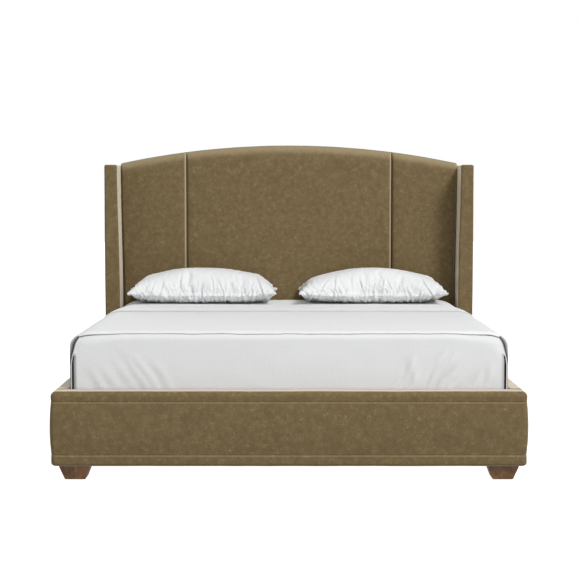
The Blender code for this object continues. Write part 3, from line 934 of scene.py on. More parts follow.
    def staples(self) -> bpy.types.Object:
        """Build the staples that hold the back cloth, along its edges.

        Returns:
            All staples as one object.
        """
        low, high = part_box("headboard_back_cover")
        inset, pitch = 0.014, 0.055
        places = [(x, low.z + inset, 0.0) for x in steps_between(low.x + inset, high.x - inset, pitch)]
        for x in steps_between(-0.97, 0.97, pitch):
            places.append((x, float(self.arch(np.array([x]))[0]) - inset, -x / self.arch_radius))
        for z in steps_between(low.z + 2 * inset, 1.40, pitch):
            places += [(low.x + inset, z, math.pi / 2), (high.x - inset, z, math.pi / 2)]
        shape = bmesh.new()
        for x, z, turn in places:
            matrix = Matrix.Translation((x, high.y - 0.0006, z)) @ Matrix.Rotation(-turn, 4, "Y")
            bmesh.ops.create_cone(
                shape, cap_ends=True, segments=6, radius1=0.0005, radius2=0.0005, depth=0.010,
                matrix=matrix @ Matrix.Rotation(math.pi / 2, 4, "Y"),
            )
        mesh = bpy.data.meshes.new("back_staples")
        shape.to_mesh(mesh)
        shape.free()
        mesh.materials.append(self.finishes.zinc)
        piece = bpy.data.objects.new("back_staples", mesh)
        bpy.context.scene.collection.objects.link(piece)
        return piece

    def dress(self) -> None:
        """Build and place every headboard piece."""
        for word in ("left", "centre", "right"):
            panel = self.panel(word)
            settle(panel, "bed_frame", "velvet", f"headboard_pad_{word}")
            LOG.info("%s", panel.name)
        back = self.back()
        settle(back, "bed_frame", "back_cloth", "headboard_back_cover")
        wrap = self.top_wrap()
        settle(wrap, "bed_frame", "velvet")
        settle(self.staples(), "bed_frame", "steel")
        LOG.info("back cloth and staples")


@dataclass
class Wings(Upholstery):
    """The two padded wings: flat front faces with soft edges, thicker low down than at the top."""

    edge: float = 0.013
    front_thick: tuple[float, float] = (0.083, 0.074)  # low and at the top
    rear_thick: tuple[float, float] = (0.0765, 0.0705)

    def wing(self, side: Side) -> bpy.types.Object:
        """Build one wing.

        Args:
            side: which one.

        Returns:
            The padded wing.
        """
        low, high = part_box(f"wing_cover_{side.word}")
        outer = max(abs(low.x), abs(high.x))
        inner = min(abs(low.x), abs(high.x))
        notch_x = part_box("side_board_right")[1].x + 0.0006
        notch_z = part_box("side_board_right")[1].z + 0.0004
        box_low, box_high = (inner, low.y, low.z), (outer, high.y, high.z)
        soft_low, soft_high = (self.edge, self.edge, 0.008), (self.edge, 0.002, self.edge)
        axes = [
            rounded_steps(box_low[a], box_high[a], (soft_low[a], soft_high[a]), (0.012, 0.02, 0.03)[a])
            for a in range(3)
        ]
        axes[2] = with_lines(axes[2], [notch_z], [0.0004])
        points, faces = grid_skin(axes)
        points = round_box(points, box_low, box_high, soft_low, soft_high)
        height = smooth_step(points[:, 2], 0.60, high.z - 0.08)
        depth = np.clip((points[:, 1] - low.y) / 0.2, 0, 1)
        front = self.front_thick[0] + (self.front_thick[1] - self.front_thick[0]) * height
        rear = self.rear_thick[0] + (self.rear_thick[1] - self.rear_thick[0]) * height
        thick = front + (rear - front) * depth
        below = points[:, 2] < notch_z
        thick = np.where(below, outer - notch_x, thick)
        points[:, 0] = outer - (outer - points[:, 0]) / (outer - inner) * thick

        def shift(p: np.ndarray, n: np.ndarray) -> np.ndarray:
            """How far the padding stands out: nothing below the notch, a slight belly above it.

            Args:
                p: the points.
                n: their normals.

            Returns:
                The distance outwards at each point.
            """
            soft = smooth_step(p[:, 2], notch_z, notch_z + 0.08)
            belly = 0.003 * np.sin(np.pi * np.clip((p[:, 2] - 0.3) / 1.1, 0, 1))
            belly = belly * np.abs(n[:, 0]) * (n[:, 0] < 0)
            return soft * (belly + self.uneven(p) * 0.6)

        points = self.swell(points, faces, shift)
        points[:, 0] *= side.value
        if side is Side.LEFT:
            faces = [f[::-1] for f in faces]
        return new_piece(f"wing_{side.word}", points, faces, self.finishes.velvet)

    def dress(self) -> None:
        """Build and place both wings."""
        for side in Side:
            wing = self.wing(side)
            settle(wing, "bed_frame", "velvet", f"wing_cover_{side.word}")
            LOG.info("%s", wing.name)


@dataclass
class Rails(Upholstery):
    """Footboard and side rails: padded, with a welted seam near the top and the bottom and a full middle."""

    seam_groove: float = 1.1 * MM
    seam_welt: float = 1.2 * MM
    top_seam: float = 0.356
    base_seam: float = 0.120
    bulge: float = 0.0070
    band: float = 0.0015
    welt_above: float = -0.0042  # from a seam's groove to its welt
    top_edge: float = 0.022
    base_edge: float = 0.013
    seam_offsets: tuple[float, ...] = (0.0, 0.0012, 0.0024, 0.004, 0.0065, 0.010)

    def profile(self, z: np.ndarray, low: float, high: float) -> np.ndarray:
        """How far an upright face stands out at height z.

        Args:
            z: the heights.
            low: the rail's underside.
            high: the rail's top.

        Returns:
            The distance outwards at each height.
        """
        middle, half = (self.top_seam + self.base_seam) / 2, (self.top_seam - self.base_seam) / 2
        full = self.bulge * np.clip(1 - ((z - middle) / half) ** 2, 0, 1)
        upper = np.clip((z - self.top_seam) / (high - self.top_seam), 0, 1)
        lower = np.clip((self.base_seam - z) / (self.base_seam - low), 0, 1)
        bands = self.band * (np.sin(np.pi * upper) + np.sin(np.pi * lower))
        line = np.zeros_like(z)
        for seam in (self.top_seam, self.base_seam):
            line -= self.seam_groove * np.exp(-(((z - seam) / 0.0016) ** 2))
            line += self.seam_welt * np.exp(-(((z - seam - self.welt_above) / 0.0024) ** 2))
        return full + bands + line

    def rail(self, name: str, node: str, softness: tuple, hollow: tuple, steps: tuple) -> bpy.types.Object:
        """Build one padded rail.

        Args:
            name: the piece's name.
            node: the CAD cover that it replaces.
            softness: rounding at the low and at the high X, Y and Z sides.
            hollow: the CAD board inside, the axis and the sign of the side where it shows.
            steps: the widest mesh spacing along X, Y and Z.

        Returns:
            The rail.
        """
        low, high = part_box(node)
        board, axis, sign = hollow
        board_low, board_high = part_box(board)
        axes = [
            rounded_steps(low[a], high[a], (softness[0][a], softness[1][a]), steps[a]) for a in range(3)
        ]
        lips = [board_low.z - 0.0003, board_high.z + 0.0003]
        axes[2] = with_lines(axes[2], [self.top_seam, self.base_seam], self.seam_offsets)
        axes[2] = with_lines(axes[2], lips, [0.0004])
        points, faces = grid_skin(axes)
        face_place = high[axis] if sign > 0 else low[axis]
        inside = np.abs(points[:, axis] - face_place) < 1e-6
        inside &= (points[:, 2] > lips[0]) & (points[:, 2] < lips[1])
        other = 1 - axis
        inside &= points[:, other] > board_low[other] - 0.001
        inside &= points[:, other] < board_high[other] + 0.001
        points = round_box(points, low, high, *softness)
        depth = (board_high[axis] - board_low[axis]) * 0.7

        def shift(p: np.ndarray, n: np.ndarray) -> np.ndarray:
            """How far the padding stands out: nothing on the side where the board shows.

            Args:
                p: the points.
                n: their normals.

            Returns:
                The distance outwards at each point.
            """
            upright = np.clip(1 - np.abs(n[:, 2]) * 1.4, 0, 1)
            outward = np.where(n[:, axis] * sign > 0.5, 0.0, 1.0)
            out = self.profile(p[:, 2], low.z, high.z) * upright
            top = 0.0018 * np.clip(n[:, 2], 0, 1)
            return outward * (out + top + self.uneven(p) * 0.7)

        points = self.swell(points, faces, shift)
        points[inside, axis] = face_place - sign * depth
        piece = new_piece(name, points, faces, self.finishes.velvet)
        heights = points[:, 2]
        seams = (self.top_seam, self.base_seam)
        welts = [np.exp(-(((heights - seam - self.welt_above) / 0.0024) ** 2)) for seam in seams]
        grooves = [np.exp(-(((heights - seam) / 0.0016) ** 2)) for seam in seams]
        to_joint = high.y - points[:, 1]
        if axis == 0:
            to_joint = np.minimum(to_joint, points[:, 1] - low.y)
        joint_shade = 0.75 * np.exp(-((to_joint / 0.004) ** 2))
        # Painted highlight on the welts; painted shade in the seam grooves and at the joints with the
        # neighbouring parts.
        mark(piece, "painted_highlight", sum(welts) * 0.28)
        mark(piece, "painted_shade", np.maximum(sum(grooves) * 0.12, joint_shade))
        return piece

    def seam_stitches(self, name: str, corners: Sequence[tuple[float, float]], z: float) -> bpy.types.Object:
        """The topstitches beside one seam.

        Args:
            name: the piece's name.
            corners: the plan points that the seam runs through.
            z: the height of the stitches.

        Returns:
            The stitches.
        """
        return stitch_row(name, [Vector((x, y, z)) for x, y in corners], self.finishes.thread)

    def dress(self) -> None:
        """Build and place the footboard and both side rails."""
        edge, base, flush = self.top_edge, self.base_edge, 0.0012
        foot = self.rail(
            "footboard", "footboard_cover",
            ((edge, edge, base), (edge, flush, edge)),
            ("footboard_board", 1, 1), (0.02, 0.012, 0.012),
        )
        settle(foot, "bed_frame", "velvet", "footboard_cover")
        LOG.info("footboard")
        for side in Side:
            soft = ((flush, flush, base), (edge, flush, edge))
            if side is Side.LEFT:
                soft = ((edge, flush, base), (flush, flush, edge))
            rail = self.rail(
                f"side_rail_{side.word}", f"side_cover_{side.word}", soft,
                (f"side_board_{side.word}", 0, -side.value), (0.012, 0.02, 0.012),
            )
            settle(rail, "bed_frame", "velvet", f"side_cover_{side.word}")
            LOG.info("%s", rail.name)
        low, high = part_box("footboard_cover")
        out = 0.0004
        for word, z in (("top", self.top_seam + 0.004), ("base", self.base_seam - 0.009)):
            stand = float(self.profile(np.array([z]), low.z, high.z)[0]) + out
            x, y = high.x + stand, low.y - stand
            front = [(-x + 0.03, y), (x - 0.03, y)]
            row = self.seam_stitches(f"footboard_{word}_stitches", front, z)
            settle(row, "bed_frame", "velvet")
            for side in Side:
                box_low, box_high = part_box(f"side_cover_{side.word}")
                line = [(side.value * x, box_low.y + 0.01), (side.value * x, box_high.y - 0.01)]
                row = self.seam_stitches(f"side_rail_{side.word}_{word}_stitches", line, z)
                settle(row, "bed_frame", "velvet")
        LOG.info("topstitches")


# ---- bedding ----------------------------------------------------------------------------------
@dataclass
class Bedding:
    """Mattress, sheet and coverlet. The coverlet's foot corners are split below the top edge."""

    finishes: Finishes
    shoulder: tuple[float, float] = (0.105, 0.060)  # along X and Z, on the long sides
    foot_shoulder: float = 0.034
    foot_edge: float = 0.036  # how far down the foot edge's rounding goes, between the corners
    corner: float = 0.014
    coverlet_thick: float = 0.005
    sheet_thick: float = 0.0012
    slit: float = 0.0084
    ease: float = 0.0045  # how far the coverlet stands off the long sides
    slit_inset: float = 0.0146
    corner_crease: float = 0.0085  # round the corner, from its middle towards the side
    slit_top: float = 0.548
    cuff_lift: float = 0.0062
    under_cuff: float = 0.06  # how far the coverlet runs on under the sheet
    fold_base: float = 0.405  # the height at which the drop goes behind the footboard
    fold_seed: int = 4

    @property
    def mattress(self) -> tuple[Vector, Vector]:
        """The corners of the CAD mattress."""
        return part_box("mattress")

    def shell(self, low: Sequence, high: Sequence, lines: dict, open_sides: Sequence[str]) -> tuple:
        """A rounded cloth skin over a block.

        Args:
            low: the block's lowest corner.
            high: its highest corner.
            lines: extra places along "x" and "z", for seams and slits.
            open_sides: the sides that are left open.

        Returns:
            The raw points, the rounded points and the faces.
        """
        xs = rounded_steps(low[0], high[0], (self.shoulder[0],) * 2, 0.009, 8)
        ys = rounded_steps(low[1], high[1], (self.foot_shoulder,) * 2, 0.022, 6)
        zs = rounded_steps(low[2], high[2], (0.0, self.shoulder[1]), 0.012, 8)
        near = [0.0, 0.0012, 0.0025, 0.0045, 0.008]
        xs = with_lines(xs, [low[0], high[0]], near)
        ys = with_lines(ys, [low[1]], near)
        zs = with_lines(zs, [high[2]], near)
        for place in lines.get("x", ()):
            xs = with_lines(xs, [place], [self.slit / 2])
        for place in lines.get("z", ()):
            zs = with_lines(zs, [place], [0.0])
        raw, faces = grid_skin((xs, ys, zs), open_sides)
        rise = smooth_step(raw[:, 2], high[2] - 0.16, high[2] - 0.02)
        soft_x = self.corner + (self.shoulder[0] - self.corner) * rise
        soft_y = self.corner + (self.foot_shoulder - self.corner) * rise
        at_foot = 1 - smooth_step(raw[:, 1], low[1] + 0.03, low[1] + 0.20)
        at_foot *= 1 - smooth_step(np.abs(raw[:, 0]), high[0] - 0.26, high[0] - 0.06)
        soft_z = self.shoulder[1] + (self.foot_edge - self.shoulder[1]) * at_foot
        points = round_box(raw, low, high, (soft_x, soft_y, 0.0), (soft_x, soft_y, soft_z))
        return raw, points, faces

    def fold_lines(self, points: np.ndarray) -> np.ndarray:
        """Soft slanting folds in the foot drop, near its corners: each side has its own slant.

        Args:
            points: the coverlet's points.

        Returns:
            How far each point stands out.
        """
        chance = np.random.default_rng(self.fold_seed)
        x, above = points[:, 0], points[:, 2] - self.fold_base
        total = np.zeros_like(x)
        for side, slant, inner, outer, count, depth, wide in (
            (Side.LEFT, -0.66, 0.50, 0.88, 6, 0.0027, 1.25),
            (Side.RIGHT, 0.46, 0.46, 0.88, 8, 0.0078, 0.80),
        ):
            for k in range(count):
                foot = side.value * (inner + (outer - inner) * (k + chance.uniform(0.1, 0.9)) / count)
                width = wide * chance.uniform(0.013, 0.023)
                lean = slant + chance.uniform(-0.10, 0.10)
                line = foot + lean * above + 0.006 * np.sin(above * 30 + k)
                off = (x - line) / width
                shape = np.exp(-((off - 0.9) ** 2)) - np.exp(-((off + 0.5) ** 2))
                start, reach = chance.uniform(-0.05, 0.03), chance.uniform(0.08, 0.19)
                run = smooth_step(above, start - 0.05, start + 0.01)
                run = run * (1 - smooth_step(above, reach - 0.08, reach))
                total += depth * chance.uniform(0.6, 1.0) * shape * run
        return total

    def coverlet(self) -> bpy.types.Object:
        """Build the coverlet over the foot part of the bed.

        Returns:
            The coverlet.
        """
        low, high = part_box("coverlet")
        start = high.y
        low = (low.x, low.y, low.z - 0.02)
        high = (high.x, start + self.under_cuff, high.z)
        slits = [low[0] + self.slit_inset, high[0] - self.slit_inset]
        raw, points, faces = self.shell(low, high, {"x": slits, "z": [self.slit_top]}, ("-z", "+y"))

        def in_slit(face: tuple[int, ...]) -> bool:
            """Whether a face lies in one of the split corners.

            Args:
                face: the numbers of its points.

            Returns:
                True for a face that is cut away.
            """
            middle = raw[list(face)].mean(axis=0)
            on_foot = all(abs(raw[i, 1] - low[1]) < 1e-6 for i in face)
            beside = min(abs(middle[0] - s) for s in slits) < self.slit / 2
            return on_foot and beside and middle[2] < self.slit_top

        faces = [f for f in faces if not in_slit(f)]
        normals = point_normals(points, faces)
        on_foot = np.abs(raw[:, 1] - low[1]) < 1e-6
        top_gap = np.where(on_foot, high[2] - raw[:, 2], raw[:, 1] - low[1])
        top_gap = np.where(on_foot | (np.abs(raw[:, 2] - high[2]) < 1e-6), top_gap, 1.0)
        side_gap = np.minimum(raw[:, 0] - low[0], high[0] - raw[:, 0])
        side_face = np.minimum(side_gap, 1.0) < 1e-6
        corner_gap = np.where(side_face, raw[:, 1] - low[1], np.where(on_foot, -side_gap, 1.0))
        gap = np.minimum(top_gap, np.abs(corner_gap - self.corner_crease) * 0.5)
        near_corner = smooth_step(np.abs(raw[:, 0]), high[0] - 0.16, high[0] - 0.03)
        # Painted shade down each foot corner, narrower near the top.
        corner_shade_half = 0.0065 - 0.0030 * smooth_step(raw[:, 2], high[2] - 0.14, high[2] - 0.06)
        corner_dark = np.exp(-(((corner_gap - self.corner_crease) / corner_shade_half) ** 4))
        corner_dark = corner_dark * (raw[:, 2] < high[2] - 0.004)
        groove = -0.0042 * np.exp(-((gap / 0.0026) ** 2)) + 0.0014 * np.exp(-(((gap - 0.007) / 0.003) ** 2))
        soft = 0.0022 * cloud(points, 0.30, 1.3) + 0.0009 * cloud(points, 0.09, 2.6)
        folds = np.where(on_foot, self.fold_lines(points), 0.0)
        edge_calm = smooth_step(np.minimum(side_gap, 1.0), -0.001, 0.03) * 0.8 + 0.2
        points = points + normals * (groove + (soft + folds) * edge_calm)[:, None]
        near_foot = 1 - smooth_step(raw[:, 1], start - 0.40, start - 0.06)
        outward = np.sign(points[:, 0]) * smooth_step(np.abs(points[:, 0]), 0.86, 0.96)
        points[:, 0] += self.ease * outward * near_foot
        wave = 0.0022 * cloud(points, 0.085, 9.7) + 0.0012 * cloud(points, 0.035, 4.4)
        points[:, 2] += np.where(top_gap < 0.03, wave, 0.0)
        piece = new_piece("woven_coverlet", points, faces, self.finishes.bedding)
        # Painted shade along the foot edge's groove, down the corners, in the slits and on the part under the
        # sheet's cuff.
        slit_gap = np.min([np.abs(raw[:, 0] - s) for s in slits], axis=0)
        in_slit_dark = np.exp(-((slit_gap / 0.0046) ** 4)) * (on_foot & (raw[:, 2] < self.slit_top + 0.004))
        under_cuff_shade = (raw[:, 1] > high[1] - self.under_cuff - 0.0005) * 0.9
        edge_line = np.exp(-((gap / (0.0028 + 0.0020 * near_corner)) ** 2))
        mark(piece, "painted_shade", np.max([edge_line, corner_dark, in_slit_dark, under_cuff_shade], axis=0))
        thicken(piece, self.coverlet_thick)
        return piece

    def sheet(self) -> bpy.types.Object:
        """Build the sheet on the head part, turned down over the coverlet in a soft edge.

        Returns:
            The sheet.
        """
        low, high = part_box("fitted_sheet")
        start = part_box("coverlet")[1].y
        low = (low.x, start, low.z - 0.01)
        high = (high.x, high.y, high.z)
        xs = rounded_steps(low[0], high[0], (self.shoulder[0],) * 2, 0.022, 8)
        ys = [start, start + 0.002, start + 0.005, start + 0.010, start + 0.018]
        ys += rounded_steps(start + 0.03, high[1], (0.0, 0.04), 0.02, 6)
        zs = rounded_steps(low[2], high[2], (0.0, self.shoulder[1]), 0.02, 8)
        raw, faces = grid_skin((xs, ys, zs), ("-z", "-y"))
        across, down = self.shoulder
        points = round_box(raw, low, high, (across, 0.0, 0.0), (across, 0.04, down))
        normals = point_normals(points, faces)
        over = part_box("coverlet")[1].z - high[2] + self.cuff_lift
        fade = 1 - smooth_step(raw[:, 1], start + 0.10, start + 0.62)
        lip = np.exp(-((raw[:, 1] - start) / 0.006))
        soft = 0.0016 * cloud(points, 0.25, 6.1) + 0.0007 * cloud(points, 0.08, 7.9)
        points = points + normals * ((over + 0.0022 * lip) * fade + soft * 0.8 - 0.0022 * (1 - fade))[:, None]
        edge_wave = 0.004 * cloud(points * np.array([1.0, 0.0, 0.0]), 0.16, 2.2)
        points[:, 1] += edge_wave * np.exp(-(raw[:, 1] - start) / 0.03)
        points[:, 2] += 0.0016 * cloud(points, 0.07, 3.3) * lip
        piece = new_piece("turned_down_sheet", points, faces, self.finishes.sheeting)
        # Painted shade along the cuff's edge, where it stands off the coverlet.
        mark(piece, "painted_shade", np.exp(-(((raw[:, 1] - start) / 0.0035) ** 2)) * 0.9)
        thicken(piece, self.sheet_thick)
        return piece

    def mattress_body(self) -> bpy.types.Object:
        """Build the mattress: rounded, with tufts pulled in over its panels.

        Returns:
            The mattress.
        """
        low, high = self.mattress
        base, top = (0.045, 0.045, 0.045), (self.shoulder[0], self.foot_shoulder + 0.012, self.shoulder[1])
        axes = [rounded_steps(low[a], high[a], (base[a], base[a]), 0.03) for a in range(3)]
        points, faces = grid_skin(axes)
        rise = smooth_step(points[:, 2], high.z - 0.15, high.z - 0.02)
        soft = tuple(base[a] + (top[a] - base[a]) * rise for a in range(2))
        points = round_box(points, low, high, (*soft, base[2]), (*soft, top[2]))
        normals = point_normals(points, faces)
        quilt = np.sin(points[:, 0] * math.pi / 0.18) * np.sin(points[:, 1] * math.pi / 0.18)
        flat = np.abs(normals[:, 2]) > 0.9
        points = points - normals * np.where(flat, 0.004 - 0.003 * np.abs(quilt), 0.001)[:, None]
        piece = new_piece("mattress_body", points, faces, self.finishes.ticking)
        # Painted shade in the quilting's hollows, and at the foot corners, where they show dark through the
        # coverlet's slits.
        corner = (np.abs(points[:, 0]) > 0.90) & (points[:, 1] < low.y + 0.06)
        quilt_shade = np.where(flat, np.clip(0.25 - np.abs(quilt), 0, 1) * 0.5, 0.0)
        mark(piece, "painted_shade", np.maximum(quilt_shade, corner * 1.0))
        return piece

    def tape(self, z: float, name: str) -> bpy.types.Object:
        """Build the piped tape round the mattress at one height.

        Args:
            z: the height of the tape's middle.
            name: the piece's name.

        Returns:
            The tape, a closed cord.
        """
        low, high = self.mattress
        inset, round_by, turns = 0.0037, 0.045, 6
        curve = bpy.data.curves.new(name, "CURVE")
        curve.dimensions = "3D"
        curve.bevel_depth = 0.0035
        curve.bevel_resolution = 2
        places = []
        corners = ((high.x, high.y, 0), (low.x, high.y, 1), (low.x, low.y, 2), (high.x, low.y, 3))
        for x, y, quarter in corners:
            cx = x - math.copysign(round_by, x)
            cy = y - math.copysign(round_by, y)
            for i in range(turns + 1):
                angle = math.pi / 2 * (quarter + i / turns)
                reach = round_by - inset
                places.append((cx + reach * math.cos(angle), cy + reach * math.sin(angle), z))
        line = curve.splines.new("POLY")
        line.points.add(len(places) - 1)
        for point, place in zip(line.points, places):
            point.co = (*place, 1.0)
        line.use_cyclic_u = True
        curve.materials.append(self.finishes.ticking)
        piece = bpy.data.objects.new(name, curve)
        bpy.context.scene.collection.objects.link(piece)
        return piece

    def dress(self) -> None:
        """Build and place the mattress, the sheet and the coverlet."""
        low, high = self.mattress
        body = self.mattress_body()
        settle(body, "mattress", "ticking", "mattress")
        for z, name in ((high.z - 0.068, "mattress_tape_top"), (low.z + 0.046, "mattress_tape_base")):
            settle(self.tape(z, name), "mattress", "ticking")
        LOG.info("mattress")
        sheet = self.sheet()
        settle(sheet, "mattress", "cotton", "fitted_sheet")
        LOG.info("turned-down sheet")
        coverlet = self.coverlet()
        settle(coverlet, "mattress", "cotton", "coverlet")
        LOG.info("coverlet")


@dataclass
class Pillow:
    """A filled pillow in a cotton case: a flat sewn bag, blown up by cloth simulation and laid down."""

    finishes: Finishes
    side: Side
    cell: float = 0.0125
    slack: tuple[float, float] = (1.085, 1.13)
    pressure: float = 7.0
    frames: int = 26
    seam_above_bed: float = 0.060
    fullness: float = 0.56  # 1 leaves the lower half as it is, and less fills it out
    seed: float = 0.0

    @property
    def node(self) -> str:
        """The CAD pillow that this one replaces."""
        return f"pillow_{self.side.word}"

    def bag(self) -> bpy.types.Object:
        """Sew the flat bag: two rectangles joined round their edge.

        Returns:
            The bag, centred on the origin.
        """
        low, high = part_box(self.node)
        width, depth = (high.x - low.x) * self.slack[0], (high.y - low.y) * self.slack[1]
        xs = steps_between(-width / 2, width / 2, self.cell)
        ys = steps_between(-depth / 2, depth / 2, self.cell)
        points, faces = grid_skin((xs, ys, [-0.004, 0.004]))
        points[:, 2] *= 0.3 + 0.7 * (1 - np.abs(points[:, 0] / (width / 2)) ** 6) * (
            1 - np.abs(points[:, 1] / (depth / 2)) ** 6
        )
        crumple = 0.0035 * cloud(points, 0.045, 11.0 + self.seed)
        crumple += 0.004 * cloud(points, 0.12, 5.0 + self.seed)
        points[:, 2] += np.where(points[:, 2] > 0, crumple, -crumple) * 0.6
        return new_piece(self.node + "_case", points, faces, self.finishes.pillowcase)

    def blow_up(self, piece: bpy.types.Object) -> None:
        """Run the cloth simulation and apply it.

        Args:
            piece: the flat bag.
        """
        cloth = piece.modifiers.new("case", "CLOTH")
        settings = cloth.settings
        settings.quality = 6
        settings.mass = 0.25
        settings.tension_stiffness = 18.0
        settings.compression_stiffness = 14.0
        settings.shear_stiffness = 6.0
        settings.bending_stiffness = 0.06
        settings.air_damping = 2.0
        settings.use_pressure = True
        settings.uniform_pressure_force = self.pressure
        settings.effector_weights.gravity = 0.0
        cloth.collision_settings.use_self_collision = False
        cloth.collision_settings.use_collision = False
        cloth.point_cache.frame_start, cloth.point_cache.frame_end = 1, self.frames
        scene = bpy.context.scene
        for number in range(1, self.frames + 1):
            scene.frame_set(number)
        graph = bpy.context.evaluated_depsgraph_get()
        blown = bpy.data.meshes.new_from_object(piece.evaluated_get(graph))
        piece.modifiers.clear()
        piece.data = blown
        scene.frame_set(1)

    def fill_out(self, points: np.ndarray) -> np.ndarray:
        """Push the sides out below the seam, where the filling's weight presses them over the bed.

        Args:
            points: the pillow's points, centred on the middle of its seam.

        Returns:
            The points, with a fuller lower half.
        """
        half = np.abs(points).max(axis=0)
        across, along = np.abs(points[:, 0]) / half[0], np.abs(points[:, 1]) / half[1]
        reach = np.clip((across**4 + along**4) ** 0.25, 1e-3, 1.0)
        fuller = reach**self.fullness / reach
        share = smooth_step(-points[:, 2], -0.004, 0.032) * smooth_step(reach, 0.1, 0.5)
        filled = points.copy()
        filled[:, :2] *= (1 + (fuller - 1) * share)[:, None]
        return filled

    def points_of(self, piece: bpy.types.Object) -> np.ndarray:
        """Read a mesh's points.

        Args:
            piece: the object.

        Returns:
            Its points, as an array of (n, 3).
        """
        points = np.empty(len(piece.data.vertices) * 3)
        piece.data.vertices.foreach_get("co", points)
        return points.reshape(-1, 3)

    def refine(self, piece: bpy.types.Object) -> None:
        """Subdivide the mesh twice.

        Args:
            piece: the object, whose mesh is replaced.
        """
        finer = piece.modifiers.new("finer", "SUBSURF")
        finer.levels = finer.render_levels = 2
        graph = bpy.context.evaluated_depsgraph_get()
        piece.data = bpy.data.meshes.new_from_object(piece.evaluated_get(graph))
        piece.modifiers.clear()

    def long_creases(self, points: np.ndarray, half: np.ndarray) -> np.ndarray:
        """Bold creases that rise from the front seam over the face, each bent its own way.

        Args:
            points: the pillow's points, centred on the middle of its seam.
            half: half its size along each axis.

        Returns:
            How far each point stands out.
        """
        chance = np.random.default_rng(int(7 + self.seed))
        height = points[:, 2] / half[2]
        total = np.zeros(len(points))
        count = 13
        for k in range(count):
            start = half[0] * (-0.86 + 1.72 * (k + chance.uniform(0.2, 0.8)) / count)
            sway, tilt = chance.uniform(-0.012, 0.012), chance.uniform(-0.035, 0.035) - start * 0.12
            reach, width = chance.uniform(0.25, 0.95), chance.uniform(0.0055, 0.0085)
            depth = chance.uniform(0.0030, 0.0056)
            line = start + tilt * height + sway * np.sin(height * 4.5 + k)
            off = (points[:, 0] - line) / width
            shape = 1.1 * np.exp(-((off - 0.9) ** 2)) - 0.85 * np.exp(-((off + 0.5) ** 2))
            run = smooth_step(height, -0.75, -0.45) * (1 - smooth_step(height, reach - 0.35, reach))
            total += depth * shape * run
        return total * smooth_step(-points[:, 1], -0.35 * half[1], 0.25 * half[1])

    def crumple(self, piece: bpy.types.Object, points: np.ndarray) -> np.ndarray:
        """Press wrinkles into the case: they run away from the seam, mostly in its lower part.

        Args:
            piece: the pillow, for its faces.
            points: its points, centred on the middle of its seam.

        Returns:
            The wrinkled points.
        """
        quads = [tuple(face.vertices) for face in piece.data.polygons]
        normals = point_normals(points, quads)
        half = np.abs(points).max(axis=0)
        bend = 0.020 * cloud(points, 0.10, 21.0 + self.seed)
        lean = 0.25 * points[:, 0] * np.clip(0.05 - points[:, 2], 0, 0.1) / 0.1
        bent = points[:, 0] + bend + lean
        across = np.column_stack([bent / 0.030, points[:, 1] / 0.15, points[:, 2] / 0.12])
        fine = np.column_stack([bent / 0.013, points[:, 1] / 0.04, points[:, 2] / 0.030])
        wide_folds = 0.6 - 2.4 * np.abs(cloud(across, 1.0, 31.0 + self.seed))
        short_folds = 0.6 - 2.4 * np.abs(cloud(fine, 1.0, 57.0 + self.seed))
        height = points[:, 2] / half[2]
        lower = smooth_step(-height, -0.72, 0.05)
        ends = smooth_step(np.abs(points[:, 0]) / half[0], 0.62, 0.98)
        where = smooth_step(cloud(points, 0.16, 43.0 + self.seed), -0.35, 0.35)
        depth = 0.0075 * wide_folds * (0.15 + 0.85 * lower) * (0.35 + 0.65 * where)
        depth += 0.0056 * short_folds * np.maximum(lower, ends) * (0.35 + 0.65 * (1 - where))
        depth += self.long_creases(points, half)
        return points + normals * depth[:, None]

    def build(self) -> bpy.types.Object:
        """Make the pillow and fit it to the space that its CAD node holds.

        Returns:
            The pillow.
        """
        piece = self.bag()
        self.blow_up(piece)
        self.refine(piece)
        points = self.points_of(piece)
        low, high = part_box(self.node)
        size = points.max(axis=0) - points.min(axis=0)
        points[:, 0] *= (high.x - low.x) / size[0]
        points[:, 1] *= (high.y - low.y) / size[1]
        above = high.z - low.z - self.seam_above_bed
        points[:, 2] *= above / points[:, 2].max()
        floor = -self.seam_above_bed
        points = self.fill_out(points)
        lifted = 0.42 + 0.28 * smooth_step(points[:, 1] / (high.y - low.y) * 2, -0.7, 0.6)
        points[:, 2] = np.where(points[:, 2] < 0, points[:, 2] * lifted, points[:, 2])
        points = self.crumple(piece, points)
        points[:, 2] *= np.where(points[:, 2] > 0, (above + 0.003) / points[:, 2].max(), 1.0)
        knee = floor * 0.85
        pressed = knee + (floor - knee) * np.tanh((points[:, 2] - knee) / (floor - knee))
        points[:, 2] = np.where(points[:, 2] < knee, pressed, points[:, 2])
        points += np.array([(low.x + high.x) / 2, (low.y + high.y) / 2, low.z + self.seam_above_bed])
        piece.data.vertices.foreach_set("co", points.ravel())
        piece.data.shade_smooth()
        return piece

    def dress(self) -> None:
        """Build and place the pillow."""
        piece = self.build()
        settle(piece, self.node, "cotton", self.node)
        LOG.info("%s", piece.name)


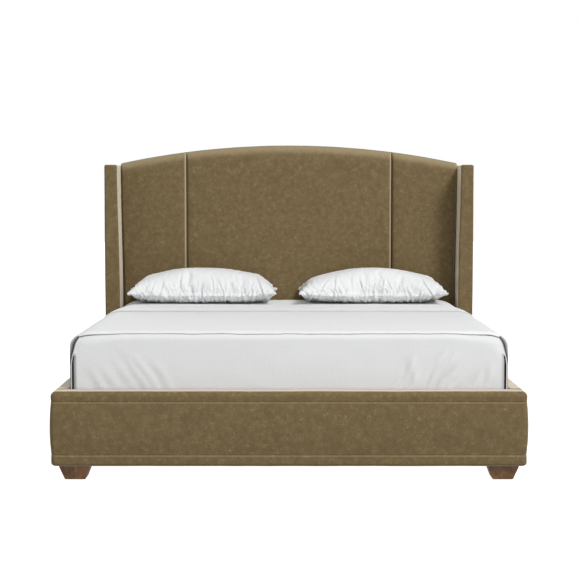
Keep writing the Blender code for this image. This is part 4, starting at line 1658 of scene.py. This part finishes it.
# ---- hard parts -------------------------------------------------------------------------------
@dataclass
class HardParts:
    """CAD nodes whose shape is right: they only get their finish."""

    finishes: Finishes

    def dress(self) -> None:
        """Give each hard node its finish."""
        by_start = {
            "slat_ledge": self.finishes.pine, "slat_": self.finishes.pine_across,
            "headboard_core": self.finishes.pine_across, "headboard_lower_rail": self.finishes.pine_across,
            "footboard_board": self.finishes.pine_across, "wing_core": self.finishes.pine,
            "side_board": self.finishes.pine, "corner_block": self.finishes.pine,
            "centre_beam": self.finishes.pine, "beam_hanger": self.finishes.powder_coat,
            "centre_leg": self.finishes.powder_coat, "rail_bracket": self.finishes.powder_coat,
            "bracket_bolt": self.finishes.zinc, "foot_": self.finishes.stained_wood,
            "glide_": self.finishes.glide,
        }
        for name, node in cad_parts.items():
            start = next((s for s in by_start if name.startswith(s)), None)
            if start is None:
                continue
            node.data.materials.clear()
            node.data.materials.append(by_start[start])
            LOG.info("%s: %s", name, by_start[start].name)


# ---- studio -----------------------------------------------------------------------------------
@dataclass
class Studio:
    """White floor, soft light and the camera."""

    camera_back: float = 6.151  # from the footboard
    camera_height: float = 1.270
    lens_mm: float = 87.9
    pitch_deg: float = 3.87
    floor_glow: float = 1.0  # a lit studio floor that burns out to white, and throws nothing back on the bed
    sky: float = 0.47

    def floor(self) -> None:
        """Lay the pale floor."""
        bpy.ops.mesh.primitive_plane_add(size=60.0, location=(0.0, 0.0, -0.0005))
        floor = bpy.context.object
        floor.name = "studio_floor"
        # Matt emulsion paint, rolled on: even and without gloss, so that it only gives a plain ground.
        made, tree, shader, _ = start_material("white_matt_paint")
        mottle = add_node(tree, "ShaderNodeTexNoise", {"Scale": 3.0, "Detail": 4.0})
        tone = add_node(
            tree, "ShaderNodeMix",
            {"Factor": mottle.outputs["Fac"], 6: linear("C8C8C8"), 7: linear("CECECE")},
            data_type="RGBA",
        )
        tree.links.new(tone.outputs[2], shader.inputs["Base Color"])
        shader.inputs["Emission Strength"].default_value = self.floor_glow
        shader.inputs["Emission Color"].default_value = (1.0, 1.0, 1.0, 1.0)
        shader.inputs["Roughness"].default_value = 0.9
        shader.inputs["Specular IOR Level"].default_value = 0.0
        floor.data.materials.append(made)
        floor.visible_diffuse = False
        floor.visible_glossy = False

    def lamp(self, name: str, place: tuple, aim: tuple, size: float, watts: float) -> None:
        """Hang one soft lamp.

        Args:
            name: the lamp's name.
            place: where it hangs.
            aim: what it points at.
            size: the side of its square.
            watts: its power.
        """
        data = bpy.data.lights.new(name, "AREA")
        data.shape = "SQUARE"
        data.size = size
        data.energy = watts
        lamp = bpy.data.objects.new(name, data)
        lamp.location = place
        lamp.rotation_euler = (Vector(aim) - Vector(place)).to_track_quat("-Z", "Y").to_euler()
        bpy.context.scene.collection.objects.link(lamp)

    def light(self) -> None:
        """Set the lamps and the white surroundings."""
        self.lamp("key_lamp", (7.0, -8.6, 12.0), (0.0, 0.0, 0.6), 4.0, 1750.0)
        self.lamp("fill_lamp", (2.5, -13.0, 3.6), (0.0, 0.0, 0.6), 6.0, 330.0)
        self.lamp("rear_lamp", (-5.0, 10.0, 7.0), (0.0, 0.0, 0.8), 5.0, 320.0)
        scene = bpy.context.scene
        scene.view_settings.view_transform = "Standard"
        scene.view_settings.look = "None"
        world = bpy.data.worlds.new("white_studio")
        world.use_nodes = True
        tree = world.node_tree
        tree.nodes.clear()
        ray = add_node(tree, "ShaderNodeLightPath")
        strength = add_node(
            tree, "ShaderNodeMapRange",
            {"Value": ray.outputs["Is Camera Ray"], "To Min": self.sky, "To Max": 1.0},
        )
        sky = add_node(
            tree, "ShaderNodeBackground", {"Color": (1, 1, 1, 1), "Strength": strength.outputs["Result"]}
        )
        add_node(tree, "ShaderNodeOutputWorld", {"Surface": sky.outputs["Background"]})
        scene.world = world

    def camera(self) -> None:
        """Place the camera in front of the footboard, tilted slightly down."""
        data = bpy.data.cameras.new("camera")
        data.lens = self.lens_mm
        data.sensor_width = 36.0
        camera = bpy.data.objects.new("camera", data)
        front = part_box("footboard_cover")[0].y
        camera.location = (0.0, front - self.camera_back, self.camera_height)
        camera.rotation_euler = (math.radians(90.0 - self.pitch_deg), 0.0, 0.0)
        bpy.context.scene.collection.objects.link(camera)
        bpy.context.scene.camera = camera

    def dress(self) -> None:
        """Set up the whole studio."""
        self.floor()
        self.light()
        self.camera()
        LOG.info("studio")


def main() -> None:
    """Build the bed's looks, piece by piece."""
    logging.basicConfig(level=logging.INFO, format="%(name)s: %(message)s")
    finishes = Finishes()
    parts = [
        Studio(),
        HardParts(finishes),
        Headboard(finishes),
        Wings(finishes),
        Rails(finishes),
        Bedding(finishes),
        Pillow(finishes, Side.LEFT),
        Pillow(finishes, Side.RIGHT, seed=4.0),
    ]
    for part in parts:
        part.dress()


if __name__ == "__main__":
    main()
